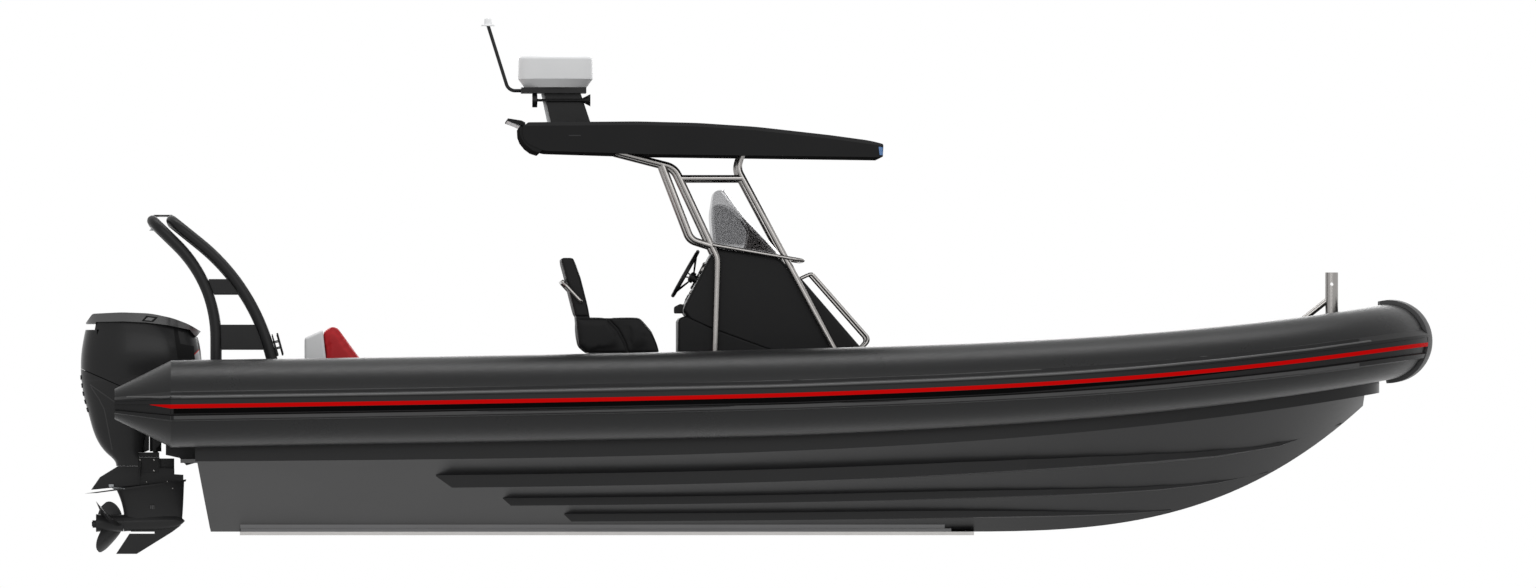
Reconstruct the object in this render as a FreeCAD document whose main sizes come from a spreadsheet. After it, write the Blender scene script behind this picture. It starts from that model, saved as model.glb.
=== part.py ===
import FreeCAD
import Part
import math
import os

from FreeCAD import Placement, Rotation, Vector

# Rigid inflatable boat with an outboard engine. Millimetres, +X to the bow, +Y to port, +Z up.
# The origin is on the centreline at the waterline, about midships.

# Every driving size. The name is the alias of its cell in the sheet.
SIZES = {
    # inflatable collar: tube axis, tube radius, stern cones
    "collar_radius": 293,
    "collar_bow_radius": 255,
    "collar_half_spacing": 1180,
    "collar_axis_height": 412,
    "collar_rise": 130,
    "collar_bow_rise": 301,
    "collar_shoulder": -4053,
    "collar_turn_start": 1000,
    "collar_side_reach": 1950,
    "collar_bow_reach": 640,
    "collar_bow": 4240,
    "collar_taper_start": 200,
    "collar_joint": 1900,
    "cone_length": 380,
    "cone_end_radius": 102,
    "seat_gap": 0.3,
    # rubbing strake, measured up and down from the tube axis and out from the tube
    "strake_top": 83,
    "strake_ridge_top": 49,
    "strake_ridge_low": 31,
    "stripe_top": -5,
    "stripe_low": -32,
    "stripe_point_length": 141,
    "groove_low": -73,
    "strake_bottom": -120,
    "strake_depth": 32,
    "strake_face_depth": 25,
    "strake_base": 8,
    "strake_lip": 5,
    "patch_thickness": 27,
    "patch_half_width": 200,
    # hull
    "keel_depth": 453,
    "keel_rise_start": 1250,
    "stem_height": 483,
    "stem_end": 4134,
    "transom_top": -3876,
    "transom_rake": 88,
    "chine_height": 24,
    "chine_rise": 60,
    "chine_bow_rise": 403,
    "side_inset": 80,
    "chine_lip": 25,
    "chine_overlap": 15,
    "bottom_skin": 60,
    "hull_stern": -3890,
    "pod_length": 200,
    "pod_half_width": 760,
    "pod_bottom": -2,
    "upstand_share": 0.35,
    "inner_wall": 24,
    "spray_outer": 815,
    "spray_middle": 480,
    "spray_inner": 250,
    "keel_strip_width": 90,
    "keel_strip_depth": 24,
    # decks
    "sole_height": 110,
    "sole_thickness": 12,
    "step_height": 350,
    "bow_deck_height": 600,
    "cockpit_aft": -3560,
    "step_start": 2600,
    "bow_deck_start": 3150,
    "well_front": -3620,
    "well_height": 150,
    "board_height": 475,
    "board_thickness": 60,
    "board_aft": -4090,
    "board_cutout": 360,
    "board_shoulder": 140,
    # aft arch
    "arch_half_width": 835,
    "arch_tube": 37,
    "arch_plate": 12,
    # console and its fittings
    "console_half_width": 450,
    "console_aft": -619,
    "console_front": 947,
    "console_top": 1469,
    "wheel_radius": 184,
    "wheel_rim": 13,
    "screen_thickness": 8,
    "rail_tube": 12,
    # T-top
    "frame_half_width": 500,
    "frame_tube": 20.5,
    "roof_half_width": 850,
    "roof_bottom_aft": 2125,
    "roof_top": 2324,
    "roof_shoulder": 24,
    "mast_half_width": 90,
    "mast_plate_low": 2527,
    "radome_radius": 254,
    "radome_base": 2565,
    "pole_radius": 12,
    # seats
    "helm_half_width": 460,
    "helm_seat_height": 1000,
    "aft_half_width": 640,
    # mooring post
    "post_radius": 44,
    "post_top": 1310,
    "post_place": 3836,
    "post_hole": 11,
    # engine
    "tilt_height": 520,
    "tilt_place": -4060,
    "tilt_pin": 16,
    "steer_place": -4163,
    "steer_pin": 18,
    "pin_play": 0.5,
    "cowl_half_width": 290,
    "cowl_step": 557.3,
    "cowl_step_front": -4218,
    "arm_low": 52.3,
    "arm_high": 86.3,
    "arm_aft": -4279,
    "cowl_floor": 590,
    "thrust_height": -390,
    "thrust_slope": 2,
    "hub_radius": 60,
    "hub_front": -4381,
    "hub_length": 185,
    "propeller_radius": 200,
    "shaft_radius": 16,
    "torpedo_radius": 58,
    "face_play": 0.5,
}

doc = FreeCAD.newDocument("inflatable_boat")
sheet = doc.addObject("Spreadsheet::Sheet", "Sizes")
for row, (name, value) in enumerate(SIZES.items(), start=1):
    sheet.set(f"A{row}", name)
    sheet.set(f"B{row}", str(value))
    sheet.setAlias(f"B{row}", name)
doc.recompute()

nodes = []


def size(name):
    """The number in the sheet's cell."""
    return float(sheet.get(name))


def keep(thing, label):
    """Names a sub-part and puts it on the list of what is written."""
    thing.Label = label
    nodes.append(thing)
    return thing


def feature(label, shape):
    """A sub-part whose shape comes from a formula."""
    thing = doc.addObject("Part::Feature", label)
    thing.Shape = shape
    return keep(thing, label)


# Outlines and paths


def rounded(points, radii, closed=True):
    """Straight runs through the points, joined by a tangent arc wherever a corner has a radius."""
    count = len(points)
    starts = list(points)
    ends = list(points)
    arcs = [None] * count
    for i, radius in enumerate(radii):
        if radius <= 0:
            continue
        corner = points[i]
        before = (points[i - 1] - corner).normalize()
        after = (points[(i + 1) % count] - corner).normalize()
        half = before.getAngle(after) / 2
        starts[i] = corner + before * (radius / math.tan(half))
        ends[i] = corner + after * (radius / math.tan(half))
        bisector = (before + after).normalize()
        middle = corner + bisector * (radius / math.sin(half) - radius)
        arcs[i] = Part.Arc(starts[i], middle, ends[i])
    edges = []
    for i in range(count):
        if (closed or i > 0) and (starts[i] - ends[i - 1]).Length > 1e-6:
            edges.append(Part.LineSegment(ends[i - 1], starts[i]))
        if arcs[i]:
            edges.append(arcs[i])
    return edges


def side_outline(corners):
    """Edges of a closed outline whose corners are (x, z, radius), in the sketch's own plane."""
    points = [Vector(x, z, 0) for x, z, radius in corners]
    return rounded(points, [radius for x, z, radius in corners])


def sketch_on(body, name, role, edges, offset=0.0, turn=0.0, along=0.0):
    """A sketch on one of the body's own origin planes, moved along and turned about its normal.

    along moves it in the plane's own x.
    """
    sketch = body.newObject("Sketcher::SketchObject", name)
    plane = next(f for f in body.Origin.OriginFeatures if f.Role == role)
    sketch.AttachmentSupport = [(plane, "")]
    sketch.MapMode = "FlatFace"
    sketch.AttachmentOffset = Placement(Vector(along, 0, offset), Rotation(Vector(0, 0, 1), turn))
    sketch.addGeometry(edges, False)
    return sketch


def padded(label, corners, width, role="XZ_Plane"):
    """A body padded both ways from the centre plane. width is an expression on the sheet."""
    body = doc.addObject("PartDesign::Body", label)
    sketch = sketch_on(body, f"{label}_outline", role, side_outline(corners))
    pad = body.newObject("PartDesign::Pad", f"{label}_pad")
    pad.Profile = sketch
    pad.Midplane = True
    pad.setExpression("Length", width)
    doc.recompute()
    return body


def side_edges(body, test):
    """Names of the edges of the body's tip that pass the test."""
    shape = body.Tip.Shape
    return [f"Edge{i}" for i, edge in enumerate(shape.Edges, start=1) if test(edge)]


def eased(body, radius, test):
    """Fillets the chosen edges of a body."""
    names = side_edges(body, test)
    tip = body.Tip
    fillet = body.newObject("PartDesign::Fillet", f"{body.Name}_fillet")
    fillet.Base = (tip, names)
    fillet.Radius = radius
    doc.recompute()
    return body


def on_side(edge):
    """True for an edge that lies in a plane of constant y."""
    box = edge.BoundBox
    return box.YLength < 0.01 and max(abs(box.YMin), abs(box.YMax)) > 1


def bent_tube(label, points, radii, radius):
    """A round bar swept along straight runs and tangent arcs. radius is a cell's name."""
    path = doc.addObject("Part::Feature", f"{label}_path")
    path.Shape = Part.Wire([edge.toShape() for edge in rounded(points, radii, closed=False)])
    ring = doc.addObject("Part::Circle", f"{label}_ring")
    ring.setExpression("Radius", f"Sizes.{radius}")
    along = (points[1] - points[0]).normalize()
    ring.Placement = Placement(points[0], Rotation(Vector(0, 0, 1), along))
    sweep = doc.addObject("Part::Sweep", label)
    sweep.Sections = [ring]
    sweep.Spine = (path, [f"Edge{i}" for i in range(1, len(path.Shape.Edges) + 1)])
    sweep.Solid = True
    sweep.Frenet = False
    return sweep


def fused(label, pieces):
    """One solid from several that run into each other."""
    thing = doc.addObject("Part::MultiFuse", label)
    thing.Shapes = pieces
    thing.Refine = True
    return thing


def grouped(label, pieces):
    """A left and a right piece, or a few like pieces, kept as one sub-part."""
    thing = doc.addObject("Part::Compound", label)
    thing.Links = pieces
    return thing


def cut(label, base, tool):
    thing = doc.addObject("Part::Cut", label)
    thing.Base = base
    thing.Tool = tool
    return thing


def standing(label, thing, level):
    """Cuts a slanting leg off flat at the deck it stands on. The leg's path starts below the deck."""
    under = box(f"{label}_under", (-5000, -2000, level - 400), (5000, 2000, level + size("seat_gap")))
    return cut(label, thing, under)


def cylinder(label, radius, height, place, axis, offset=0.0):
    """A cylinder from place along axis. radius is a cell's name or a number."""
    thing = doc.addObject("Part::Cylinder", label)
    if isinstance(radius, str):
        thing.setExpression("Radius", f"Sizes.{radius} + {offset}")
    else:
        thing.Radius = radius
    thing.Height = height
    thing.Placement = Placement(place, Rotation(Vector(0, 0, 1), axis))
    return thing


def box(label, low, high):
    thing = doc.addObject("Part::Box", label)
    thing.Length = high[0] - low[0]
    thing.Width = high[1] - low[1]
    thing.Height = high[2] - low[2]
    thing.Placement = Placement(Vector(*low), Rotation())
    return thing


def curve_through(points):
    """A smooth edge through the points."""
    curve = Part.BSplineCurve()
    curve.interpolate(points)
    return curve.toShape()


# Collar


def collar_height(x):
    """Height of the tube axis: a gentle rise along the boat and a steep one near the bow."""
    share = (x - size("collar_shoulder")) / (size("collar_bow") - size("collar_shoulder"))
    share = max(share, 0.0)
    rise = size("collar_rise") * share + size("collar_bow_rise") * share**4.53
    return size("collar_axis_height") + rise


def collar_radius(x):
    """Radius of the tube, tapering towards the bow."""
    start = size("collar_taper_start")
    share = min(max((x - start) / (size("collar_bow") - start), 0.0), 1.0)
    return size("collar_radius") + share * (size("collar_bow_radius") - size("collar_radius"))


def turn_point(t):
    """Plan of the tube axis from the parallel part, t = 0, to the bow centre, t = 1: a cubic curve."""
    start = size("collar_turn_start")
    side = size("collar_half_spacing")
    bow = size("collar_bow")
    xs = (start, start + size("collar_side_reach"), bow, bow)
    ys = (side, side, size("collar_bow_reach"), 0.0)
    weights = ((1 - t) ** 3, 3 * t * (1 - t) ** 2, 3 * t**2 * (1 - t), t**3)
    return sum(w * x for w, x in zip(weights, xs)), sum(w * y for w, y in zip(weights, ys))


STRAIGHT_STATIONS = 6
TURN_STATIONS = 12


def port_stations():
    """Points of the plan of the tube axis, from the port shoulder to the bow centre."""
    shoulder = size("collar_shoulder")
    run = size("collar_turn_start") - shoulder
    straight = [
        (shoulder + run * i / STRAIGHT_STATIONS, size("collar_half_spacing"))
        for i in range(STRAIGHT_STATIONS)
    ]
    return straight + [turn_point(i / TURN_STATIONS) for i in range(TURN_STATIONS + 1)]


def outward(stations, i):
    """Unit vector that points away from the boat, square to the plan of the tube axis."""
    x0, y0 = stations[max(i - 1, 0)]
    x1, y1 = stations[min(i + 1, len(stations) - 1)]
    if i == 0:
        x1, y1 = x0 + 1.0, y0
    if i == len(stations) - 1:
        x0, y0, x1, y1 = 0.0, 1.0, 0.0, 0.0
    along = Vector(x1 - x0, y1 - y0, 0).normalize()
    return Vector(-along.y, along.x, 0)


def mirrored(stations_and_normals):
    """The port list carried on round the bow to the starboard shoulder."""
    port = stations_and_normals
    starboard = [((x, -y), Vector(n.x, -n.y, 0)) for (x, y), n in reversed(port[:-1])]
    return port + starboard


port = port_stations()
COURSE = mirrored([(port[i], outward(port, i)) for i in range(len(port))])


def collar_solid(grow):
    """The whole tube, as circles square to the plan of its axis. grow is added to its radius."""
    rings = []
    for (x, y), normal in COURSE:
        along = normal.cross(Vector(0, 0, 1))
        ring = Part.Circle(Vector(x, y, collar_height(x)), along, collar_radius(x) + grow)
        seam = ring.toShape()
        rings.append(Part.Wire([seam]))
    return Part.makeLoft(rings, True, False)


whole_collar = collar_solid(0.0)
collar_clearance = collar_solid(size("seat_gap"))

beam = size("collar_half_spacing") + size("collar_radius") + 100
joint = size("collar_joint")
stern_end = size("collar_shoulder") - 10
bow_end = size("collar_bow") + size("collar_bow_radius") + 100
side_box = Part.makeBox(joint - stern_end, beam, 3000, Vector(stern_end, 0, -1000))
bow_box = Part.makeBox(bow_end - joint, 2 * beam, 3000, Vector(joint, -beam, -1000))
port_tube = whole_collar.common(side_box)
feature("collar_port", port_tube)
feature("collar_starboard", port_tube.mirror(Vector(0, 0, 0), Vector(0, 1, 0)))
feature("collar_bow", whole_collar.common(bow_box))

cones = []
for side, name in ((1, "port"), (-1, "starboard")):
    cone = doc.addObject("Part::Cone", f"cone_{name}")
    cone.setExpression("Radius1", "Sizes.collar_radius")
    cone.setExpression("Radius2", "Sizes.cone_end_radius")
    cone.setExpression("Height", "Sizes.cone_length")
    cone.Placement = Placement(
        Vector(size("collar_shoulder"), side * size("collar_half_spacing"), size("collar_axis_height")),
        Rotation(Vector(0, 0, 1), Vector(-1, 0, 0)),
    )
    cones.append(cone)
keep(grouped("stern_cones_pair", cones), "stern_cones")


# Rubbing strake and stripe


def band_wire(centre, normal, radius, inner, outer):
    """A closed section on the tube: an arc on the tube below, straight runs outside.

    inner is (top, bottom, depth), outer is a list of (height, depth).
    """

    def spot(height, depth):
        out = math.sqrt(radius**2 - height**2) + depth
        return centre + normal * out + Vector(0, 0, height)

    top, bottom, depth = inner
    middle = (top + bottom) / 2
    arc = Part.Arc(spot(bottom, depth), spot(middle, depth), spot(top, depth)).toShape()
    points = [spot(top, depth)] + [spot(h, d) for h, d in outer] + [spot(bottom, depth)]
    lines = [Part.makeLine(points[i], points[i + 1]) for i in range(len(points) - 1)]
    return Part.Wire([arc] + lines)


SUNK = 20.0


def cone_course():
    """Centre, outward vector, radius and height share along the strake on the port cone, tip first."""
    stations = []
    for along in (1.0, 0.0):
        radius = size("collar_radius") + along * (size("cone_end_radius") - size("collar_radius"))
        x = size("collar_shoulder") - along * size("cone_length")
        centre = Vector(x, size("collar_half_spacing"), size("collar_axis_height"))
        stations.append((centre, Vector(0, 1, 0), radius, 1 - 0.45 * along))
    return stations


def tube_course():
    """The same list along the whole tube, port shoulder to starboard shoulder."""
    return [
        (Vector(x, y, collar_height(x)), normal, collar_radius(x), 1.0) for (x, y), normal in COURSE
    ]


def band_loft(course, inner, outer, ruled):
    """A moulding of one section along a course. inner is (top, bottom, depth) of its back."""
    top, bottom, depth = inner
    wires = []
    for centre, normal, radius, share in course:
        back = (top * share, bottom * share, depth)
        wires.append(band_wire(centre, normal, radius, back, [(h * share, d) for h, d in outer]))
    return Part.makeLoft(wires, True, ruled)


def strake_loft(inner, outer):
    """A moulding round the whole collar, from one cone's tip to the other's."""
    on_cone = band_loft(cone_course(), inner, outer, True)
    other_cone = on_cone.mirror(Vector(0, 0, 0), Vector(0, 1, 0))
    on_tube = band_loft(tube_course(), inner, outer, False)
    return on_tube.fuse([on_cone, other_cone])


def cone_clearance(side):
    """The space that a stern cone takes, a little larger all round."""
    play = size("seat_gap")
    place = Vector(size("collar_shoulder"), side * size("collar_half_spacing"), size("collar_axis_height"))
    radius = size("collar_radius") + play
    end_radius = size("cone_end_radius") + play
    return Part.makeCone(radius, end_radius, size("cone_length"), place, Vector(-1, 0, 0))


gap = size("seat_gap")
stripe_top = size("stripe_top")
stripe_low = size("stripe_low")
base = size("strake_base")
face = size("strake_face_depth")
strake_outer = [
    (size("strake_top"), size("strake_lip")),
    (size("strake_ridge_top"), size("strake_depth")),
    (size("strake_ridge_low"), size("strake_depth")),
    (size("strake_ridge_low") - 3, face),
    (stripe_top + gap, face),
    (stripe_top + gap, base),
    (stripe_low - gap, base),
    (size("groove_low"), base),
    (size("groove_low") - 8, face),
    (size("strake_bottom") + 10, face),
    (size("strake_bottom"), size("strake_lip")),
]


def bow_skin(low_angle, high_angle, sunk, raised_):
    """A skin round the bow tube between two angles, measured up from outward, over the patch's width."""
    wires = []
    for (x, y), normal in COURSE:
        if abs(y) > size("patch_half_width"):
            continue
        centre = Vector(x, y, collar_height(x))
        inner = collar_radius(x) - sunk
        outer = collar_radius(x) + raised_

        def spot(radius, angle):
            angle = math.radians(angle)
            return centre + normal * (radius * math.cos(angle)) + Vector(0, 0, radius * math.sin(angle))

        middle = (low_angle + high_angle) / 2
        inside = Part.Arc(spot(inner, low_angle), spot(inner, middle), spot(inner, high_angle))
        outside = Part.Arc(spot(outer, high_angle - 3), spot(outer, middle), spot(outer, low_angle + 3))
        wires.append(
            Part.Wire(
                [
                    inside.toShape(),
                    Part.makeLine(spot(inner, high_angle), spot(outer, high_angle - 3)),
                    outside.toShape(),
                    Part.makeLine(spot(outer, low_angle + 3), spot(inner, low_angle)),
                ]
            )
        )
    return Part.makeLoft(wires, True, False)


bow_patch = bow_skin(-92, 105, SUNK, size("patch_thickness"))
feature("bow_patch", bow_patch.cut(collar_clearance))
patch_room = bow_skin(-60, 60, 3 * SUNK, 3 * SUNK)

rub_strake = strake_loft((size("strake_top"), size("strake_bottom"), -SUNK), strake_outer)
rub_strake = rub_strake.cut([collar_clearance, cone_clearance(1), cone_clearance(-1), patch_room])
feature("rub_strake", rub_strake)


def stripe_point():
    """The stripe's pointed end on the port cone: from a thin start below its top edge to full width."""
    wires = []
    start = size("stripe_point_length") / size("cone_length")
    for along, low_edge in ((start, stripe_top - 2), (0.0, stripe_low)):
        radius = size("collar_radius") + along * (size("cone_end_radius") - size("collar_radius"))
        x = size("collar_shoulder") - along * size("cone_length")
        centre = Vector(x, size("collar_half_spacing"), size("collar_axis_height"))
        outer = [(stripe_top, face + 2), (low_edge, face + 2)]
        wires.append(band_wire(centre, Vector(0, 1, 0), radius, (stripe_top, low_edge, base + gap), outer))
    return Part.makeLoft(wires, True, True)


stripe_outer = [(stripe_top, face + 2), (stripe_low, face + 2)]
stripe = band_loft(tube_course(), (stripe_top, stripe_low, base + gap), stripe_outer, False)
point = stripe_point()
stripe = stripe.fuse([point, point.mirror(Vector(0, 0, 0), Vector(0, 1, 0))]).cut(patch_room)
feature("red_stripe", stripe)


# Hull


def keel_height(x):
    """Keel line: level, then a cubic rise to the stem."""
    share = (x - size("keel_rise_start")) / (size("stem_end") - size("keel_rise_start"))
    share = max(share, 0.0)
    return -size("keel_depth") + (size("stem_height") + size("keel_depth")) * share**3


def chine_height(x):
    """Chine line: a gentle rise along the boat and a steep one near the bow."""
    share = (x - size("hull_stern")) / (size("stem_end") - size("hull_stern"))
    share = max(share, 0.0)
    return size("chine_height") + size("chine_rise") * share + size("chine_bow_rise") * share**3.3


def inset_plan(inset, start, spread=1.0):
    """Port half of the plan of the collar axis moved inboard by inset(x), from x = start to the bow."""
    points = [Vector(start, size("collar_half_spacing") - inset(start), 0)]
    for (x, y), normal in COURSE[: len(port)]:
        if x > start + 1:
            points.append(Vector(x, y, 0) - normal * inset(x))
    return points


def plan_face(points):
    """A face from the port half of a plan: straight aft of the turn, a smooth curve round the bow."""
    turn = size("collar_turn_start")
    aft = [p for p in points if p.x <= turn + 1]
    curve = aft[-1:] + [p for p in points if p.x > turn + 1]
    both = curve + [Vector(p.x, -p.y, 0) for p in reversed(curve[:-1])]
    spline = Part.BSplineCurve()
    spline.interpolate(Points=both, InitialTangent=Vector(1, 0, 0), FinalTangent=Vector(-1, 0, 0))
    start = aft[0]
    lines = [
        Part.makeLine(both[-1], Vector(start.x, -start.y, 0)),
        Part.makeLine(Vector(start.x, -start.y, 0), start),
        Part.makeLine(start, both[0]),
    ]
    return Part.Face(Part.Wire([spline.toShape()] + lines))


def raised(face_, low, high):
    """A prism on a plan face between two heights."""
    solid = face_.copy()
    solid.translate(Vector(0, 0, low))
    return solid.extrude(Vector(0, 0, high - low))


def side_inset(x):
    return size("side_inset")


def cockpit_inset(x):
    """From the tube axis in to the inner face of the upstand that carries the tube."""
    return collar_radius(x) * math.sqrt(1 - size("upstand_share") ** 2) + size("inner_wall")


def topsides():
    """The band between chine and collar, solid across, with its bottom on the chine line."""
    plan = raised(plan_face(inset_plan(side_inset, size("hull_stern"))), -300, 1500)
    last = size("collar_bow")
    xs = [size("hull_stern") + (last - size("hull_stern")) * i / 16 for i in range(17)]
    low = [Vector(x, 0, chine_height(x)) for x in xs]
    high = [Vector(x, 0, collar_height(x) - size("upstand_share") * collar_radius(x)) for x in xs]
    outline = Part.Wire(
        [
            curve_through(low),
            Part.makeLine(low[-1], high[-1]),
            curve_through(high),
            Part.makeLine(high[0], low[0]),
        ]
    )
    slab = Part.Face(outline)
    slab.translate(Vector(0, -beam, 0))
    return plan.common(slab.extrude(Vector(0, 2 * beam, 0)))


def bottom_sections():
    """Stations of the V bottom and its half-width there: straight aft, then the inset plan curve."""
    inset = size("side_inset") + size("chine_lip")
    start = size("hull_stern") - 100
    shoulder = size("collar_turn_start")
    half = size("collar_half_spacing") - inset
    stations = [(start + (shoulder - start) * i / 8, half) for i in range(8)]
    for (x, y), normal in COURSE[STRAIGHT_STATIONS : len(port)]:
        spot = Vector(x, y, 0) - normal * inset
        if spot.x < size("stem_end") - 25:
            stations.append((spot.x, spot.y))
    return stations


def closed_solid(faces):
    """A solid from faces that meet edge to edge."""
    shell = Part.makeShell(faces)
    shell.sewShape()
    return Part.makeSolid(shell)


def v_bottom():
    """The deep V: ruled panels from the keel line to the two chine lines, closed across the top."""
    stations = bottom_sections()
    lap = size("chine_overlap")
    keel_line = [Vector(x, 0, keel_height(x)) for x, half in stations]
    port_line = [Vector(x, half, chine_height(x) + lap) for x, half in stations]
    starboard_line = [Vector(x, -half, chine_height(x) + lap) for x, half in stations]
    keel = curve_through(keel_line)
    port_chine = curve_through(port_line)
    starboard_chine = curve_through(starboard_line)
    faces = [
        Part.makeRuledSurface(keel, port_chine),
        Part.makeRuledSurface(port_chine, starboard_chine),
        Part.makeRuledSurface(starboard_chine, keel),
    ]
    for end in (0, -1):
        corners = [keel_line[end], port_line[end], starboard_line[end], keel_line[end]]
        faces.append(Part.Face(Part.makePolygon(corners)))
    return closed_solid(faces)


def bottom_skin():
    """The thickness of the V bottom, which the cockpit's space stays clear of."""
    inside = v_bottom()
    inside.translate(Vector(0, 0, size("bottom_skin")))
    return v_bottom().cut(inside)


def raked_cut():
    """Everything aft of the raked transom, below the pod."""
    top = size("transom_top")
    slope = size("transom_rake") / (size("keel_depth") + 14)
    aft = top - 400
    high = 14.0
    low = -size("keel_depth") - 100
    corners = [
        Vector(aft, 0, high),
        Vector(top, 0, high),
        Vector(top + slope * (high - low), 0, low),
        Vector(aft, 0, low),
    ]
    face_ = Part.Face(Part.makePolygon(corners + corners[:1]))
    face_.translate(Vector(0, -beam, 0))
    return face_.extrude(Vector(0, 2 * beam, 0))


def spray_strake(half, start, full, end, drop):
    """A spray strake under the port side of the V, which fades and draws in to the keel at the bow.

    It is a lofted section: its outer face upright, its underside turned down a little.
    """
    wires = []
    sunk = 12.0
    steps = 14
    parallel_end = 800.0
    stations = [start] + [full + (end - full) * i / steps for i in range(steps + 1)]
    for x in stations:
        drawn = max((x - parallel_end) / (end - parallel_end), 0.0)
        outer = 30.0 + (half - 30.0) * (1 - drawn**2.6)
        fade = 0.08 if x == start else 1.0 - 0.9 * drawn**1.5
        inner = outer - min(1.9 * drop * fade, outer - 10.0)
        level = bottom_level(x, outer)
        inner_level = bottom_level(x, inner)
        corners = [
            Vector(x, outer, level + sunk),
            Vector(x, outer, level - drop * fade),
            Vector(x, inner, inner_level),
            Vector(x, inner, inner_level + sunk),
        ]
        wires.append(Part.makePolygon(corners + corners[:1]))
    return Part.makeLoft(wires, True, True)


def bottom_level(x, y):
    """Height of the V bottom at a station and a distance from the centreline."""
    stations = bottom_sections()
    half = stations[0][1]
    for (x0, y0), (x1, y1) in zip(stations, stations[1:]):
        if x0 <= x <= x1:
            half = y0 + (y1 - y0) * (x - x0) / (x1 - x0)
    keel = keel_height(x)
    return keel + (chine_height(x) + size("chine_overlap") - keel) * y / half


def stern_pod():
    """The moulded extension behind the transom that carries the engine's board."""
    front = size("hull_stern")
    aft = front - size("pod_length")
    low = size("pod_bottom")
    corners = [
        Vector(front + 40, 0, size("well_height")),
        Vector(aft, 0, size("well_height")),
        Vector(aft, 0, low + 70),
        Vector(front - 108, 0, low + 50),
        Vector(front - 61, 0, low),
        Vector(front + 40, 0, low + 30),
    ]
    face_ = Part.Face(Part.makePolygon(corners + corners[:1]))
    half = size("pod_half_width")
    face_.translate(Vector(0, -half, 0))
    return face_.extrude(Vector(0, 2 * half, 0))


def cockpit_prism(start, end, low):
    """The open space between the tubes from one station to another, from a floor upwards."""
    plan = raised(plan_face(inset_plan(cockpit_inset, size("board_aft") - 10)), low, 1600)
    limit = Part.makeBox(end - start, 2 * beam, 3000, Vector(start, -beam, -1000))
    return plan.common(limit).cut(skin)


def deck_plate(start, end, height):
    """A deck covering that lies in its part of the cockpit, a little smaller all round."""
    play = 3.0

    def inset(x):
        return cockpit_inset(x) + play

    plan = plan_face(inset_plan(inset, size("board_aft")))
    plate = raised(plan, height - size("sole_thickness") + gap, height)
    limit = Part.makeBox(end - start - 2 * play, 2 * beam, 3000, Vector(start + play, -beam, -1000))
    solids = plate.common(limit).cut(skin_clearance).Solids
    return max(solids, key=lambda solid: solid.Volume)


skin = bottom_skin()
skin_clearance = skin.copy()
skin_clearance.translate(Vector(0, 0, 2))
sole_floor = size("sole_height") - size("sole_thickness")
hull = v_bottom().cut(raked_cut())
hull = hull.fuse([topsides(), stern_pod()])
hull = hull.cut(
    [
        cockpit_prism(size("cockpit_aft"), size("step_start"), sole_floor),
        cockpit_prism(size("step_start"), size("bow_deck_start"), size("step_height") - size("sole_thickness")),
        cockpit_prism(size("bow_deck_start"), bow_end, size("bow_deck_height") - size("sole_thickness")),
        cockpit_prism(size("board_aft") - 10, size("well_front"), size("well_height")),
    ]
)
hull = hull.cut(collar_clearance)
strakes = []
for mirror in (1, -1):
    for half, start, full, end, drop in (
        (size("spray_outer"), -2264, -2156, 3900, 85),
        (size("spray_middle"), -1807, -1754, 3400, 52),
        (size("spray_inner"), -1390, -1340, 2740, 52),
    ):
        strake = spray_strake(half, start, full, end, drop)
        if mirror < 0:
            strake = strake.mirror(Vector(0, 0, 0), Vector(0, 1, 0))
        strakes.append(strake)
hull = hull.fuse(strakes).removeSplitter()
feature("hull", hull)

feature("cockpit_sole", deck_plate(size("cockpit_aft"), size("step_start"), size("sole_height")))
feature("bow_step", deck_plate(size("step_start"), size("bow_deck_start"), size("step_height")))
feature("bow_deck", deck_plate(size("bow_deck_start"), bow_end, size("bow_deck_height")))

keel_strip = box(
    "keel_strip",
    (-3590, -size("keel_strip_width") / 2, -size("keel_depth") - size("keel_strip_depth")),
    (1400, size("keel_strip_width") / 2, -size("keel_depth") - gap),
)
keep(keel_strip, "keel_strip")


def transom_board():
    """The upright board that carries the engine, cut out in the middle, between the tubes."""
    low = size("well_height") + gap
    cutout = size("board_cutout")
    middle = size("board_height")
    high = middle + size("board_shoulder")
    half = size("pod_half_width") + 60
    outline = [
        Vector(half - 60, low, 0),
        Vector(half, low + 80, 0),
        Vector(half, high, 0),
        Vector(cutout + 60, high, 0),
        Vector(cutout, middle, 0),
        Vector(-cutout, middle, 0),
        Vector(-cutout - 60, high, 0),
        Vector(-half, high, 0),
        Vector(-half, low + 80, 0),
        Vector(-half + 60, low, 0),
    ]
    body = doc.addObject("PartDesign::Body", "transom_board")
    edges = rounded(outline, [0, 0, 40, 60, 40, 40, 60, 40, 0, 0])
    sketch = sketch_on(body, "transom_outline", "YZ_Plane", edges, offset=size("board_aft"))
    pad = body.newObject("PartDesign::Pad", "transom_pad")
    pad.Profile = sketch
    pad.setExpression("Length", "Sizes.board_thickness")
    doc.recompute()
    keep(body, "transom_board")


transom_board()


# Aft arch of bent tube


def hoop(label, top, corner, foot, bend):
    """A hoop across the boat: up one side, over the top and down the other. Points are (x, z)."""
    half = size("arch_half_width")
    points = []
    for side in (-1, 1):
        leg = [
            Vector(foot[0], side * half, foot[1]),
            Vector(corner[0], side * half, corner[1]),
            Vector(top[0], side * half, top[1]),
        ]
        points += leg if side < 0 else leg[::-1]
    return bent_tube(f"{label}_tube", points, [0, bend, 110, 110, bend, 0], "arch_tube")


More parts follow.
